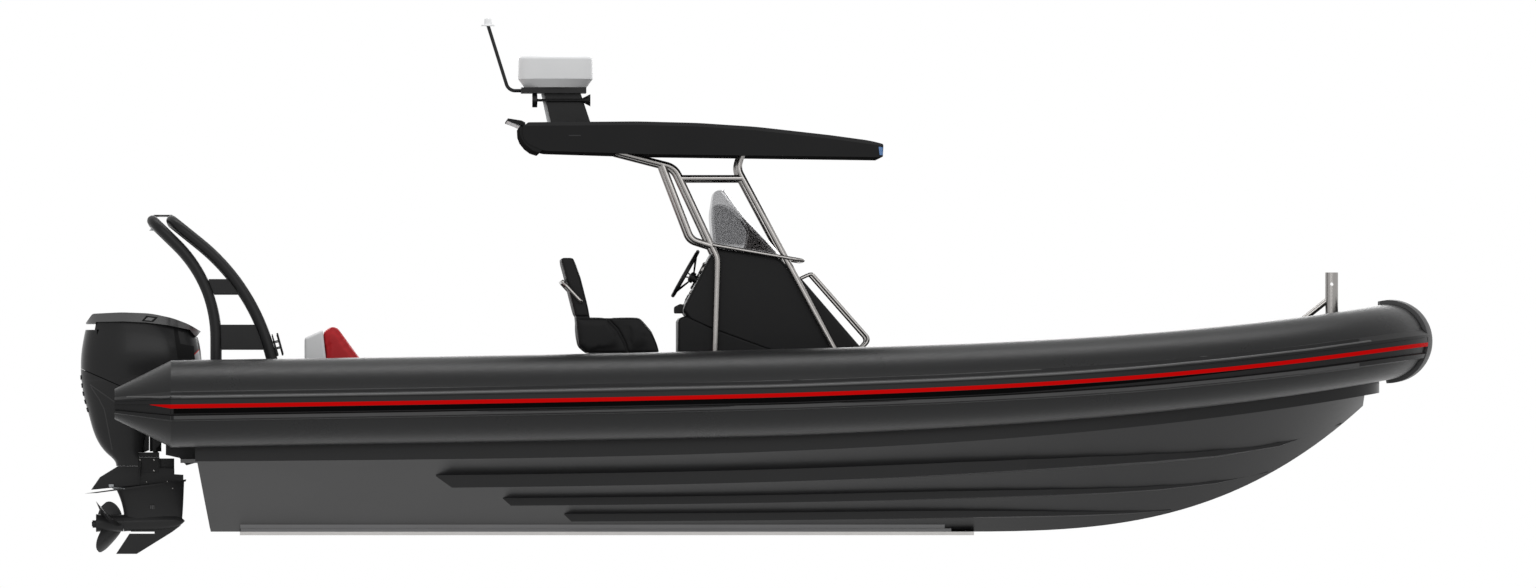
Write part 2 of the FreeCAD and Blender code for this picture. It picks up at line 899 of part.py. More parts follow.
aft_top = (-4180, 1652)
aft_corner = (-3752, 1236)
aft_foot = (-3752, size("well_height") - 30)
front_top = (-4050, 1652)
front_corner = (-3510, 1218)
front_foot = (-3199, size("sole_height") - 30)
aft_hoop = hoop("arch_aft", aft_top, aft_corner, aft_foot, 900)
front_hoop = hoop("arch_front", front_top, front_corner, front_foot, 1400)
keep(standing("aft_hoop_cut", aft_hoop, size("well_height")), "arch_aft_hoop")
keep(standing("front_hoop_cut", front_hoop, size("sole_height")), "arch_front_hoop")
doc.recompute()


def arch_plates(side):
    """Two flat plates that tie the hoops together on one side, cut to the tubes."""
    thick = size("arch_plate")
    y = side * size("arch_half_width") - thick / 2
    plates = []
    for low, high, aft, front in ((1163, 1257, -3800, -3500), (787, 949, -3750, -3380)):
        plates.append(Part.makeBox(front - aft, thick, high - low, Vector(aft, y, low)))
    tools = []
    for thing in ("arch_aft", "arch_front"):
        path = doc.getObject(f"{thing}_tube_path").Shape
        start = path.Vertexes[0].Point
        along = path.Edges[0].tangentAt(path.Edges[0].FirstParameter)
        ring = Part.Wire([Part.Circle(start, along, size("arch_tube") + gap).toShape()])
        tools.append(Part.Wire(path.Edges).makePipeShell([ring], True, False))
    cut_plates = Part.makeCompound(plates).cut(tools)
    return sorted(cut_plates.Solids, key=lambda solid: -solid.Volume)[:2]


arch_level = aft_top[1] + size("arch_tube") + gap
arch_top = Part.makeBox(126, 600, 8, Vector(-4174, -300, arch_level))
feature("arch_plates", Part.makeCompound(arch_plates(1) + arch_plates(-1) + [arch_top]))


# Aft seat

aft_base = padded(
    "aft_seat_base",
    [
        (-3150, size("sole_height"), 0),
        (-3150, 862, 20),
        (-3029, 915, 8),
        (-3005, 700, 20),
        (-2860, 470, 30),
        (-2380, 440, 30),
        (-2400, size("sole_height"), 0),
    ],
    "2 * Sizes.aft_half_width",
)
keep(eased(aft_base, 18, on_side), "aft_seat_base")
aft_back = padded(
    "aft_back_pad",
    [
        (-3032, 900, 8),
        (-2972, 941, 20),
        (-2940, 938, 20),
        (-2720, 640, 25),
        (-2790, 560, 20),
        (-2860, 465, 12),
        (-3010, 700, 20),
    ],
    "2 * Sizes.aft_half_width - 60",
)
keep(cut("aft_back_fitted", aft_back, aft_base), "aft_seat_back")
aft_cushion = padded(
    "aft_cushion_pad",
    [(-2780, 450, 10), (-2700, 560, 25), (-2400, 560, 35), (-2383, 430, 10)],
    "2 * Sizes.aft_half_width - 60",
)
keep(cut("aft_cushion_fitted", aft_cushion, aft_base), "aft_seat_cushion")


# Helm seat

seat_level = size("helm_seat_height")
helm_back = padded(
    "helm_seat_back",
    [
        (-1421, 1410, 12),
        (-1333, 1410, 12),
        (-1283, 1269, 300),
        (-1214, seat_level + gap, 4),
        (-1314, seat_level + gap, 4),
        (-1387, 1292, 300),
    ],
    "2 * Sizes.helm_half_width",
)
keep(eased(helm_back, 14, on_side), "helm_seat_back")
helm_cushion = padded(
    "helm_seat_cushion",
    [
        (-1314, seat_level, 10),
        (-1104, seat_level, 6),
        (-1034, 923, 80),
        (-986, 832, 100),
        (-962, 762, 4),
        (-1241, 762, 20),
        (-1300, 810, 30),
    ],
    "2 * Sizes.helm_half_width",
)
keep(helm_cushion, "helm_seat_cushion")
helm_bolster = padded(
    "helm_seat_bolster",
    [
        (-1098, seat_level, 6),
        (-880, seat_level, 30),
        (-800, 905, 90),
        (-740, 762, 6),
        (-956, 762, 4),
        (-980, 832, 100),
        (-1028, 923, 80),
    ],
    "2 * Sizes.helm_half_width",
)
keep(helm_bolster, "helm_seat_bolster")


def helm_frame():
    """Four legs and two cross rails under a tray that carries the seat."""
    pieces = [box("helm_tray", (-1235, -400, 748), (-770, 400, 762 - gap))]
    for x, low_x in ((-1190, -1230), (-830, -790)):
        for side in (-1, 1):
            foot = Vector(low_x, side * 340, size("sole_height") - 20)
            top = Vector(x, side * 340, 750)
            pieces.append(
                cylinder(f"helm_leg_{len(pieces)}", 22, (top - foot).Length, foot, top - foot)
            )
        across = Vector((x + low_x) / 2, -340, 430)
        pieces.append(cylinder(f"helm_cross_{len(pieces)}", 16, 680, across, Vector(0, 1, 0)))
    return standing("helm_frame_cut", fused("helm_frame", pieces), size("sole_height"))


keep(helm_frame(), "helm_seat_frame")
side_face = size("helm_half_width") + gap
half = side_face + 30
handle = bent_tube(
    "helm_seat_handle",
    [
        Vector(-1277, -side_face, 1108),
        Vector(-1277, -half, 1108),
        Vector(-1405, -half, 1245),
        Vector(-1405, half, 1245),
        Vector(-1277, half, 1108),
        Vector(-1277, side_face, 1108),
    ],
    [0, 15, 45, 45, 15, 0],
    "rail_tube",
)
keep(handle, "helm_seat_handle")


# Console

aft = size("console_aft")
front = size("console_front")
top = size("console_top")
sole = size("sole_height")
console_low = padded(
    "console_lower",
    [
        (aft, sole + gap, 0),
        (aft, 995, 35),
        (-564, 1013 - gap, 35),
        (-401, 938 - gap, 60),
        (54, 772 - gap, 0),
        (900, 460 - gap, 35),
        (front, 420, 35),
        (front, sole + gap, 0),
    ],
    "2 * Sizes.console_half_width",
)
keep(eased(console_low, 18, on_side), "console_lower")
console_up = padded(
    "console_upper",
    [
        (-564, 1013, 0),
        (-587, 1045, 30),
        (-571, 1091, 60),
        (-402, 1418, 30),
        (-358, top, 40),
        (60, 1410, 120),
        (230, 1250, 60),
        (917, 454, 0),
        (54, 772, 0),
        (-401, 938, 60),
    ],
    "2 * Sizes.console_half_width",
)


def above_seam(edge):
    """True for the side edges of the upper moulding that are not on its joint with the lower one."""
    middle = edge.BoundBox.Center
    return on_side(edge) and middle.z > 830 + 0.368 * (54 - middle.x)


keep(eased(console_up, 25, above_seam), "console_upper")

throttle = padded(
    "throttle_box",
    [(-640, 1030, 10), (-640, 1075, 18), (-600, 1095, 18), (-560, 1090, 0), (-560, 1030, 0)],
    "70",
)
keep(cut("throttle_fitted", throttle, console_up), "throttle")


def screen_loft(shrink, back):
    """The space inside the wraparound windscreen, as D-shaped sections at rising heights.

    shrink makes it smaller all round, back carries it on behind its aft edge.
    """
    wires = []
    for z, x_aft, x_front, half_width in (
        (1420, -392, 88, 432),
        (1550, -396, -20, 405),
        (1700, -396, -160, 360),
        (1800, -385, -240, 310),
        (1880, -372, -300, 250),
    ):
        deep = (x_front - x_aft) - shrink
        wide = half_width - shrink
        points = []
        for i in range(13):
            angle = math.radians(-90 + 15 * i)
            across = math.copysign(abs(math.sin(angle)) ** 0.7, math.sin(angle)) * wide
            points.append(Vector(x_aft + abs(math.cos(angle)) ** 0.7 * deep, across, z))
        behind = [Vector(x_aft - back, points[i].y, z) for i in (-1, 0)]
        sides = [Part.makeLine(points[-1], behind[0])] if back else []
        sides.append(Part.makeLine(behind[0] if back else points[-1], behind[1] if back else points[0]))
        sides += [Part.makeLine(behind[1], points[0])] if back else []
        wires.append(Part.Wire([curve_through(points)] + sides))
    return Part.makeLoft(wires, True, False)


screen = screen_loft(0.0, 0.0).cut(screen_loft(size("screen_thickness"), 40.0))
doc.recompute()
screen_side = Part.Wire(
    [
        edge.toShape()
        for edge in rounded(
            [
                Vector(-380, 0, 1475),
                Vector(-398, 0, 1700),
                Vector(-372, 0, 1868),
                Vector(-285, 0, 1868),
                Vector(120, 0, 1600),
                Vector(120, 0, 1425),
                Vector(-98, 0, 1425),
            ],
            [0, 300, 50, 40, 0, 0, 0],
        )
    ]
)
screen_face = Part.Face(screen_side)
screen_face.translate(Vector(0, -600, 0))
screen = screen.common(screen_face.extrude(Vector(0, 1200, 0)))
screen = screen.cut(console_up.Shape)
screen = max(screen.Solids, key=lambda solid: solid.Volume)
feature("windscreen", screen)


# T-top roof and frame

roof = padded(
    "roof_moulding",
    [
        (-1640, 2318, 20),
        (-898, size("roof_top"), 3000),
        (-498, 2314, 2500),
        (-99, 2288, 2500),
        (399, 2232, 3000),
        (679, 2194, 900),
        (762, 2171, 12),
        (758, 2083, 6),
        (-816, 2103, 0),
        (-1530, size("roof_bottom_aft"), 120),
        (-1680, 2190, 90),
        (-1676, 2290, 10),
    ],
    "2 * Sizes.roof_half_width",
)
lip = padded(
    "ttop_lip",
    [(-1781, 2333, 3), (-1778, 2345, 3), (-1684, 2330, 0), (-1660, 2317, 0), (-1660, 2290, 0)],
    "2 * Sizes.roof_half_width - 100",
)
ROOF_CROWN = [
    (-1900, 2318), (-1640, 2318), (-898, 2324), (-498, 2314), (-99, 2288), (399, 2232), (679, 2194), (900, 2160)
]


def roof_shoulder(side):
    """What is planed off one upper edge of the roof: a triangle carried along its crown."""
    edge = side * size("roof_half_width")
    width = side * size("roof_shoulder")
    wires = []
    for x, crown in ROOF_CROWN:
        corners = [
            Vector(x, edge + width, crown - 2 * size("roof_shoulder")),
            Vector(x, edge + width, crown + size("roof_shoulder")),
            Vector(x, edge - 2 * width, crown + size("roof_shoulder")),
        ]
        wires.append(Part.makePolygon(corners + corners[:1]))
    return Part.makeLoft(wires, True, True)


shoulders = doc.addObject("Part::Feature", "roof_shoulders")
shoulders.Shape = Part.makeCompound([roof_shoulder(1), roof_shoulder(-1)])
roof_shell = cut("roof_with_shoulders", fused("roof_and_lip", [roof, lip]), shoulders)
keep(roof_shell, "ttop_roof")


def frame_side(name, side):
    """The bent tubes on one side: rear leg, its doubler, front leg and crossbar, one welding."""
    y = side * size("frame_half_width")
    foot = size("sole_height") - 30

    def run(corners):
        return [Vector(x, y, z) for x, z in corners]

    pieces = [
        bent_tube(
            f"rear_leg_{name}",
            run([(-1040, 2122), (-640, 2019), (-352, 1400), (-390, foot)]),
            [0, 120, 150, 0],
            "frame_tube",
        ),
        bent_tube(
            f"doubler_{name}",
            run([(-726, 2041), (-530, 1530), (-392, 1486)]),
            [0, 90, 0],
            "frame_tube",
        ),
        bent_tube(
            f"front_leg_{name}",
            run([(-180, 2130), (-215, 2010), (814, foot)]),
            [0, 110, 0],
            "frame_tube",
        ),
        cylinder(f"tie_{name}", "frame_tube", 425, Vector(-604, y, 1945), Vector(1, 0, 0)),
    ]
    welded = standing(f"ttop_legs_{name}", fused(f"ttop_tubes_{name}", pieces), size("sole_height"))
    frame = cut(f"ttop_frame_{name}", welded, roof_block)
    return keep(frame, f"ttop_frame_{name}")


# Everything above the underside of the roof, where the tubes end
doc.recompute()
roof_block = doc.addObject("Part::Feature", "roof_block")
roof_block.Shape = roof.Shape.fuse(Part.makeBox(2600, 2000, 400, Vector(-1700, -1000, 2160)))
frame_side("port", 1)
frame_side("starboard", -1)

rail_half = size("frame_half_width") + size("frame_tube") + size("rail_tube") + gap
rail_points = [
    Vector(-385, -rail_half, 1492),
    Vector(228, -rail_half, 1386),
    Vector(228, rail_half, 1386),
    Vector(-385, rail_half, 1492),
]
keep(bent_tube("console_rail", rail_points, [0, 60, 60, 0], "rail_tube"), "console_rail")

rails = []
for side, name in ((1, "port"), (-1, "starboard")):
    y = side * 400
    points = [Vector(190, y, 1255), Vector(288, y, 1300), Vector(682, y, 852), Vector(600, y, 760)]
    rail = bent_tube(f"front_rail_tube_{name}", points, [0, 25, 38, 0], "rail_tube")
    rails.append(cut(f"front_rail_{name}", rail, console_up))
keep(grouped("front_rail_pair", rails), "front_rails")


# Radar mast, radome, antenna and horn

mast = padded(
    "mast_block",
    [(-1526, 2540, 0), (-1280, 2540, 0), (-1206, 2320, 0), (-1476, 2320, 0)],
    "2 * Sizes.mast_half_width",
)
doc.recompute()
plate_low = size("mast_plate_low")
plate_aft = -1680.0
plate = box("mast_plate", (plate_aft, -180, plate_low), (-1238, 180, size("radome_base") - gap))
mast_and_plate = fused("mast_and_plate", [mast, plate])
keep(cut("radar_mast_cut", mast_and_plate, roof), "radar_mast")

radome = doc.addObject("PartDesign::Body", "radome")
radius = size("radome_radius")
radome_base = size("radome_base")
profile = side_outline(
    [
        (0, radome_base, 0),
        (211, radome_base, 6),
        (radius, radome_base + 60, 10),
        (radius - 4, radome_base + 220, 30),
        (0, radome_base + 222, 0),
    ]
)
radome_sketch = sketch_on(radome, "radome_profile", "XZ_Plane", profile)
turned = radome.newObject("PartDesign::Revolution", "radome_turned")
turned.Profile = radome_sketch
turned.ReferenceAxis = (radome_sketch, ["V_Axis"])
turned.Angle = 360
radome.Placement = Placement(Vector(-1446, 0, 0), Rotation())
keep(radome, "radome")

pole = bent_tube(
    "pole_tube",
    [Vector(plate_aft - gap, 0, 2545), Vector(-1765, 0, 2545), Vector(-1905, 0, 2992)],
    [0, 62, 0],
    "pole_radius",
)
antenna = doc.addObject("PartDesign::Body", "antenna")
antenna_profile = side_outline(
    [(0, 0, 0), (47, 0, 2), (45, 8, 2), (25, 10, 3), (24, 44, 12), (0, 54, 0)]
)
antenna_sketch = sketch_on(antenna, "antenna_profile", "XZ_Plane", antenna_profile)
antenna_turned = antenna.newObject("PartDesign::Revolution", "antenna_turned")
antenna_turned.Profile = antenna_sketch
antenna_turned.ReferenceAxis = (antenna_sketch, ["V_Axis"])
antenna_turned.Angle = 360
antenna.Placement = Placement(Vector(-1904, 0, 2985), Rotation())
keep(fused("antenna_and_pole", [pole, antenna]), "antenna_pole")

horn = doc.addObject("PartDesign::Body", "horn")
horn_axis = 2478.0
driver = plate_low - gap - horn_axis
horn_profile = side_outline(
    [(0, 0, 0), (driver, 0, 3), (driver, 34, 3), (9, 36, 3), (9, 330, 40), (42, 395, 0), (0, 395, 0)]
)
horn_sketch = sketch_on(horn, "horn_profile", "XZ_Plane", horn_profile)
horn_turned = horn.newObject("PartDesign::Revolution", "horn_turned")
horn_turned.Profile = horn_sketch
horn_turned.ReferenceAxis = (horn_sketch, ["V_Axis"])
horn_turned.Angle = 360
horn.Placement = Placement(Vector(-1605, -130, horn_axis), Rotation(Vector(0, 1, 0), 90))
keep(horn, "horn")


# Mooring post

deck_top = size("bow_deck_height")
post_base = Vector(size("post_place"), 0, deck_top + gap)
post_height = size("post_top") - deck_top - gap
up = Vector(0, 0, 1)
post = cylinder("post_tube", "post_radius", post_height, post_base, up)
hole = cylinder(
    "post_hole", "post_hole", 200, Vector(size("post_place"), -100, 1231), Vector(0, 1, 0)
)
post_drilled = cut("post_drilled", post, hole)

# The brace ends in a saddle on the post
brace_points = [Vector(size("post_place"), 0, 1145), Vector(3330, 0, 743), Vector(3290, 0, deck_top - 40)]
brace = bent_tube("post_brace", brace_points, [0, 60, 0], "frame_tube")
post_room = cylinder("post_room", "post_radius", post_height, post_base, up, gap)
brace_fitted = cut("brace_fitted", standing("brace_on_deck", brace, deck_top), post_room)
keep(grouped("post_and_brace", [post_drilled, brace_fitted]), "mooring_post")


# Engine

tilt = Vector(size("tilt_place"), 0, size("tilt_height"))
board_aft = size("board_aft")
board_top = size("board_height")


def clamp_bracket():
    """Two cheeks on the board, joined by a plate behind it and by the tilt pin."""
    pieces = []
    for side, name in ((1, "port"), (-1, "starboard")):
        cheek = Part.Face(
            Part.Wire(
                [
                    edge.toShape()
                    for edge in rounded(
                        [
                            Vector(board_aft - gap, 0, 170),
                            Vector(board_aft - 40, 0, 210),
                            Vector(board_aft - 40, 0, 440),
                            Vector(board_aft - 12, 0, 552),
                            Vector(tilt.x + 36, 0, 552),
                            Vector(tilt.x + 36, 0, board_top + gap),
                            Vector(board_aft - gap, 0, board_top + gap),
                        ],
                        [0, 20, 60, 20, 20, 0, 0],
                    )
                ]
            )
        )
        cheek.translate(Vector(0, 130 if side > 0 else -152, 0))
        pieces.append(cheek.extrude(Vector(0, 22, 0)))
    pieces.append(Part.makeBox(12, 280, 160, Vector(board_aft - gap - 12, -140, 190)))
    pieces.append(
        Part.makeCylinder(size("tilt_pin"), 300, Vector(tilt.x, -150, tilt.z), Vector(0, 1, 0))
    )
    return pieces[0].fuse(pieces[1:]).removeSplitter()


feature("clamp_bracket", clamp_bracket())


def swivel_bracket():
    """Barrel on the tilt pin, web, and the upright tube that the engine steers in."""
    steer_x = size("steer_place")
    barrel = Part.makeCylinder(30, 248, Vector(tilt.x, -124, tilt.z), Vector(0, 1, 0))
    tube = Part.makeCylinder(40, 440, Vector(steer_x, 0, 92), Vector(0, 0, 1))
    web = Part.Face(
        Part.Wire(
            [
                edge.toShape()
                for edge in rounded(
                    [
                        Vector(steer_x, 0, 110),
                        Vector(-4112, 0, 160),
                        Vector(-4112, 0, 474),
                        Vector(-4080, 0, 506),
                        Vector(-4066, 0, 532),
                        Vector(steer_x, 0, 528),
                    ],
                    [0, 30, 0, 0, 0, 0],
                )
            ]
        )
    )
    web.translate(Vector(0, -60, 0))
    web = web.extrude(Vector(0, 120, 0))
    solid = barrel.fuse([tube, web])
    play = size("pin_play")
    bores = [
        Part.makeCylinder(size("tilt_pin") + play, 300, Vector(tilt.x, -150, tilt.z), Vector(0, 1, 0)),
        Part.makeCylinder(size("steer_pin") + play, 600, Vector(steer_x, 0, 0), Vector(0, 0, 1)),
    ]
    return solid.cut(bores).removeSplitter()


feature("swivel_bracket", swivel_bracket())


def steer_yoke():
    """Upper arm, steering pin and lower arm, which carry the engine on the swivel tube."""
    steer_x = size("steer_place")
    pin = Part.makeCylinder(size("steer_pin"), 490, Vector(steer_x, 0, 60), Vector(0, 0, 1))
    upper = Part.makeBox(52, 110, 20, Vector(steer_x - 52, -55, 537))
    upper = upper.fuse(Part.makeCylinder(42, 20, Vector(steer_x, 0, 537), Vector(0, 0, 1)))
    lower = Part.makeBox(141, 170, 34, Vector(size("arm_aft"), -85, size("arm_low")))
    return pin.fuse([upper, lower]).removeSplitter()


feature("steer_yoke", steer_yoke())


def oval(z, x_aft, x_front, half_width, power=2.6, lift=0.0):
    """A closed section of the engine at one height: a superellipse, lifted towards its front."""
    points = []
    middle = (x_aft + x_front) / 2
    reach = (x_front - x_aft) / 2
    for i in range(24):
        angle = 2 * math.pi * i / 24
        c = math.cos(angle)
        s = math.sin(angle)
        x = middle + reach * math.copysign(abs(c) ** (2 / power), c)
        y = half_width * math.copysign(abs(s) ** (2 / power), s)
        points.append(Vector(x, y, z + lift * (x - middle)))
    curve = Part.BSplineCurve()
    curve.interpolate(Points=points, PeriodicFlag=True)
    return Part.Wire([curve.toShape()])


wide = size("cowl_half_width")
cowl_sections = [
    (-7, -4430, -4240, 100),
    (75, -4488, -4235, 118),
    (193, -4570, -4232, 150),
    (333, -4614, -4228, 190),
    (490, -4654, -4222, 235),
    (560, -4664, -4120, 258),
    (600, -4669, -3880, 275),
    (709, -4670, -3851, wide),
    (868, -4650, -3878, wide - 12),
    (945, -4632, -3925, wide - 28),
    (985, -4606, -3990, wide - 48),
]


def cowl_whole():
    return Part.makeLoft([oval(*section) for section in cowl_sections], True, False)


def side_prism(corners, half_width):
    """A prism across the boat on an outline of (x, z, radius) corners."""
    points = [Vector(x, 0, z) for x, z, radius_ in corners]
    edges = rounded(points, [radius_ for x, z, radius_ in corners])
    face_ = Part.Face(Part.Wire([edge.toShape() for edge in edges]))
    face_.translate(Vector(0, -half_width, 0))
    return face_.extrude(Vector(0, 2 * half_width, 0))


def engine_covers():
    """Lower cowl, upper cowl, cap and the block they cover."""
    whole = cowl_whole()
    cap_seam = [(-4566, 971), (-4379, 974), (-4230, 967), (-4083, 949), (-3930, 918), (-3888, 869)]
    top_line = [(-4700, 918), (-4575, 918)] + cap_seam + [(-3700, 866)]
    parting = [(-4800, 710), (-4393, 532), (-4230, 545), (-3700, 560)]
    below_cap = side_prism([(x, z, 0) for x, z in top_line] + [(-3700, -200, 0), (-4700, -200, 0)], 500)
    below_parting = side_prism([(x, z, 0) for x, z in parting] + [(-3700, -200, 0), (-4800, -200, 0)], 500)
    above_parting = side_prism([(x, z + 2, 0) for x, z in parting] + [(-3700, 1300, 0), (-4800, 1300, 0)], 500)
    floor = size("cowl_floor")
    room = Part.makeBox(560, 420, 330, Vector(-4560, -210, floor))
    step_front = size("cowl_step_front")
    step = Part.makeBox(600, 800, 700, Vector(step_front, -400, size("cowl_step") - 700))
    arm_aft = size("arm_aft") - gap
    arm_room = Part.makeBox(200, 400, 200, Vector(arm_aft, -200, size("arm_high") + gap - 200))
    lower = whole.common(below_parting).cut([room, step, arm_room])
    upper = whole.common(above_parting).common(below_cap).cut([room, step])
    cap_side = side_prism(
        [
            (-4642, 957, 6),
            (-4591, 1027, 30),
            (-4393, 1036, 900),
            (-4196, 1029, 600),
            (-4046, 997, 500),
            (-3935, 955, 400),
            (-3856, 908, 4),
        ]
        + [(x, z + gap, 0) for x, z in reversed(cap_seam)]
        + [(-4570, 957, 0)],
        400,
    )
    plan = Part.Face(oval(800, -4642, -3854, wide - 8, 2.4)).extrude(Vector(0, 0, 400))
    cap = cap_side.common(plan)
    cap = max(cap.Solids, key=lambda solid: solid.Volume)
    block = Part.makeBox(460, 380, 290, Vector(-4520, -190, floor + gap))
    return lower, upper, cap, block


lower_cowl, upper_cowl, cap, block = engine_covers()
feature("engine_lower_cowl", lower_cowl)
feature("engine_cowl", upper_cowl)
feature("engine_cap", cap)
feature("power_head", block)


def thrust_line(x):
    """Height of the propeller's axis at a station."""
    return size("thrust_height") + math.tan(math.radians(size("thrust_slope"))) * (x + 4275)


def blade_section(z, aft, front, half_width):
    """A rounded nose, a belly at a third of the length and a thin blunt tail, for struts and fins."""
    third = front - (front - aft) * 0.35
    tail = 2.0
    points = [
        Vector(aft, tail, z),
        Vector(third, half_width, z),
        Vector(front, 0, z),
        Vector(third, -half_width, z),
        Vector(aft, -tail, z),
    ]
    return Part.Wire([curve_through(points), Part.makeLine(points[-1], points[0])])


def gearcase():
    """Splash plate, strut, torpedo and skeg with the slot above it, and the propeller's shaft and nut."""
    splash = side_prism(
        [
            (-4418, -7 - gap, 0),
            (size("arm_aft"), -7 - gap, 0),
            (size("arm_aft"), size("arm_low") - gap, 0),
            (-4135, size("arm_low") - gap, 0),
            (-4135, -20, 0),
            (-4035, -24, 0),
            (-4035, -62, 0),
            (-3974, -66, 0),
            (-3974, -104, 0),
            (-4560, -165, 0),
            (-4600, -168, 0),
            (-4540, -82, 20),
        ],
        80,
    )
    plate_side = side_prism([(-4648, -194, 0), (-3954, -97, 0), (-3958, -112, 0), (-4560, -190, 0)], 140)
    plate_plan = Part.Face(oval(-260, -4650, -3950, 135, 2.2)).extrude(Vector(0, 0, 240))
    plate_ = plate_side.common(plate_plan)
    strut = Part.makeLoft(
        [
            blade_section(-100, -4470, -3968, 62),
            blade_section(-200, -4412, -3972, 48),
            blade_section(-345, -4374, -3980, 40),
            blade_section(-400, -4370, -3985, 40),
        ],
        True,
        False,
    )
    torpedo = torpedo_solid()
    skeg = Part.makeLoft(
        [
            blade_section(-410, -4310, -3990, 16),
            blade_section(-455, -4330, -4050, 13),
            blade_section(-604, -4430, -4290, 8),
        ],
        True,
        True,
    )
    whole = splash.fuse([plate_, strut, torpedo, skeg]).removeSplitter()
    slot_length, slot_height = 230, 13
    slot_aft, slot_low = -4400, -466
    slot = Part.makeBox(slot_length, 60, slot_height, Vector(slot_aft, -30, slot_low))
    return whole.cut(slot)


def thrust_placement(x):
    """Places a shape turned about +X so that it lies on the propeller's axis from a station."""
    return Placement(
        Vector(x, 0, thrust_line(x)), Rotation(Vector(0, 1, 0), -size("thrust_slope"))
    )


def torpedo_solid():
    """The torpedo turned about the propeller's axis, with the shaft behind it."""
    front_length = 418.0
    rear = size("torpedo_radius")
    curve = Part.BSplineCurve()
    curve.interpolate(
        [
            Vector(0, 0, rear),
            Vector(front_length * 0.45, 0, rear),
            Vector(front_length * 0.75, 0, rear * 0.82),
            Vector(front_length * 0.93, 0, rear * 0.45),
            Vector(front_length, 0, 0),
        ]
    )
    profile_ = Part.Face(
        Part.Wire(
            [
                curve.toShape(),
                Part.makeLine(Vector(front_length, 0, 0), Vector(0, 0, 0)),
                Part.makeLine(Vector(0, 0, 0), Vector(0, 0, rear)),
            ]
        )
    )
    solid = profile_.revolve(Vector(0, 0, 0), Vector(1, 0, 0), 360)
    play = size("face_play")
    length = size("hub_length")
    solid = solid.fuse(
        [
            Part.makeCylinder(size("shaft_radius"), length + 30, Vector(-length - 30, 0, 0), Vector(1, 0, 0)),
            Part.makeCylinder(26, 24, Vector(-length - 2 * play - 24, 0, 0), Vector(1, 0, 0)),
        ]
    )
    solid.Placement = thrust_placement(size("hub_front"))
    return solid


feature("gearcase", gearcase())

# Propeller: a hub turned about +X, one lofted blade, and its copies round the hub
propeller = doc.addObject("PartDesign::Body", "propeller")
hub_radius = size("hub_radius")
hub_length = size("hub_length")
play = size("face_play")
shaft = size("shaft_radius")
hub_profile = side_outline(
    [
        (-hub_length - play, shaft + play, 0),
        (-hub_length - play, hub_radius, 0),
        (-hub_length * 0.9, hub_radius - 6, 60),
        (-play, hub_radius - 2, 0),
        (-play, shaft + play, 0),
    ]
)
hub_sketch = sketch_on(propeller, "hub_profile", "XZ_Plane", hub_profile)
hub = propeller.newObject("PartDesign::Revolution", "hub")
hub.Profile = hub_sketch
hub.ReferenceAxis = (hub_sketch, ["H_Axis"])
hub.Angle = 360
doc.recompute()


def foil(chord, thick):
    """A lens of two arcs, long in the sketch's x."""
    nose = Vector(chord / 2, 0, 0)
    tail = Vector(-chord / 2, 0, 0)
    return [
        Part.Arc(tail, Vector(0, thick, 0), nose),
        Part.Arc(nose, Vector(0, -thick * 0.4, 0), tail),
    ]


tip = size("propeller_radius")
blade_sections = []
for number, (share, chord, thick) in enumerate(
    ((0.24, 130, 9), (0.45, 165, 7), (0.68, 180, 5), (0.88, 140, 3.5), (1.0, 50, 2))
):
    radius_here = tip * share
    pitch = math.degrees(math.atan2(430, 2 * math.pi * radius_here))
    section = sketch_on(
        propeller,
        f"blade_{number}",
        "XY_Plane",
        foil(chord, thick),
        offset=radius_here,
        turn=90 - pitch,
        along=-hub_length * 0.53,
    )
    blade_sections.append(section)
blade = propeller.newObject("PartDesign::AdditiveLoft", "blade")
blade.Profile = blade_sections[0]
blade.Sections = blade_sections[1:]
blade.Ruled = False
doc.recompute()
blades = propeller.newObject("PartDesign::PolarPattern", "blades")
blades.Originals = [blade]
x_axis = next(f for f in propeller.Origin.OriginFeatures if f.Role == "X_Axis")
blades.Axis = (x_axis, [""])
blades.Angle = 360
blades.Occurrences = 3
propeller.Tip = blades
hub_place = thrust_placement(size("hub_front"))
turned_up = Placement(Vector(0, 0, 0), Rotation(Vector(1, 0, 0), 38))
propeller.Placement = hub_place.multiply(turned_up)
keep(propeller, "propeller")


# Steering wheel

wheel_centre = Vector(-565, 0, 1300)
wheel_axis = Vector(-0.869, 0, 0.493).normalize()
wheel_turn = Rotation(Vector(0, 0, 1), wheel_axis)
wheel_side = -150.0
wheel_centre.y = wheel_side


def steering_wheel():
    """Rim, dished spokes and hub, turned about the column's axis."""
    rim_radius = size("wheel_radius") - size("wheel_rim")
    rim = Part.makeTorus(rim_radius, size("wheel_rim"))
    dish = 59.0
    pieces = []
    for arm in range(3):
        for spread in (-7, 7):
            angle = math.radians(90 + 120 * arm + spread)
            inner = Vector(30 * math.cos(angle), 30 * math.sin(angle), -dish + 8)
            outer = Vector(rim_radius * math.cos(angle), rim_radius * math.sin(angle), 0)
            run = outer - inner
            pieces.append(Part.makeCylinder(5, run.Length, inner, run))
    pieces.append(Part.makeCylinder(38, 26, Vector(0, 0, -dish - 8), Vector(0, 0, 1)))
    solid = rim.fuse(pieces)
    solid.Placement = Placement(wheel_centre, wheel_turn)
    return solid


feature("steering_wheel", steering_wheel())
column_top = wheel_centre - wheel_axis * (59.0 + 8 + size("face_play"))
column = cylinder("column_bar", 26, 60, column_top - wheel_axis * 60, wheel_axis)
doc.recompute()
column_shape = column.Shape.cut(console_up.Shape)
column_shape = max(column_shape.Solids, key=lambda solid: solid.CenterOfMass.dot(wheel_axis))
feature("steering_column", column_shape)


doc.recompute()
for thing in doc.Objects:
    if "Invalid" in thing.State or "Error" in thing.State:
        raise RuntimeError(f"{thing.Label} is {thing.State}")
for thing in nodes:
    if thing.Shape.isNull() or not thing.Shape.isValid():
        raise RuntimeError(f"{thing.Label} has no valid shape")

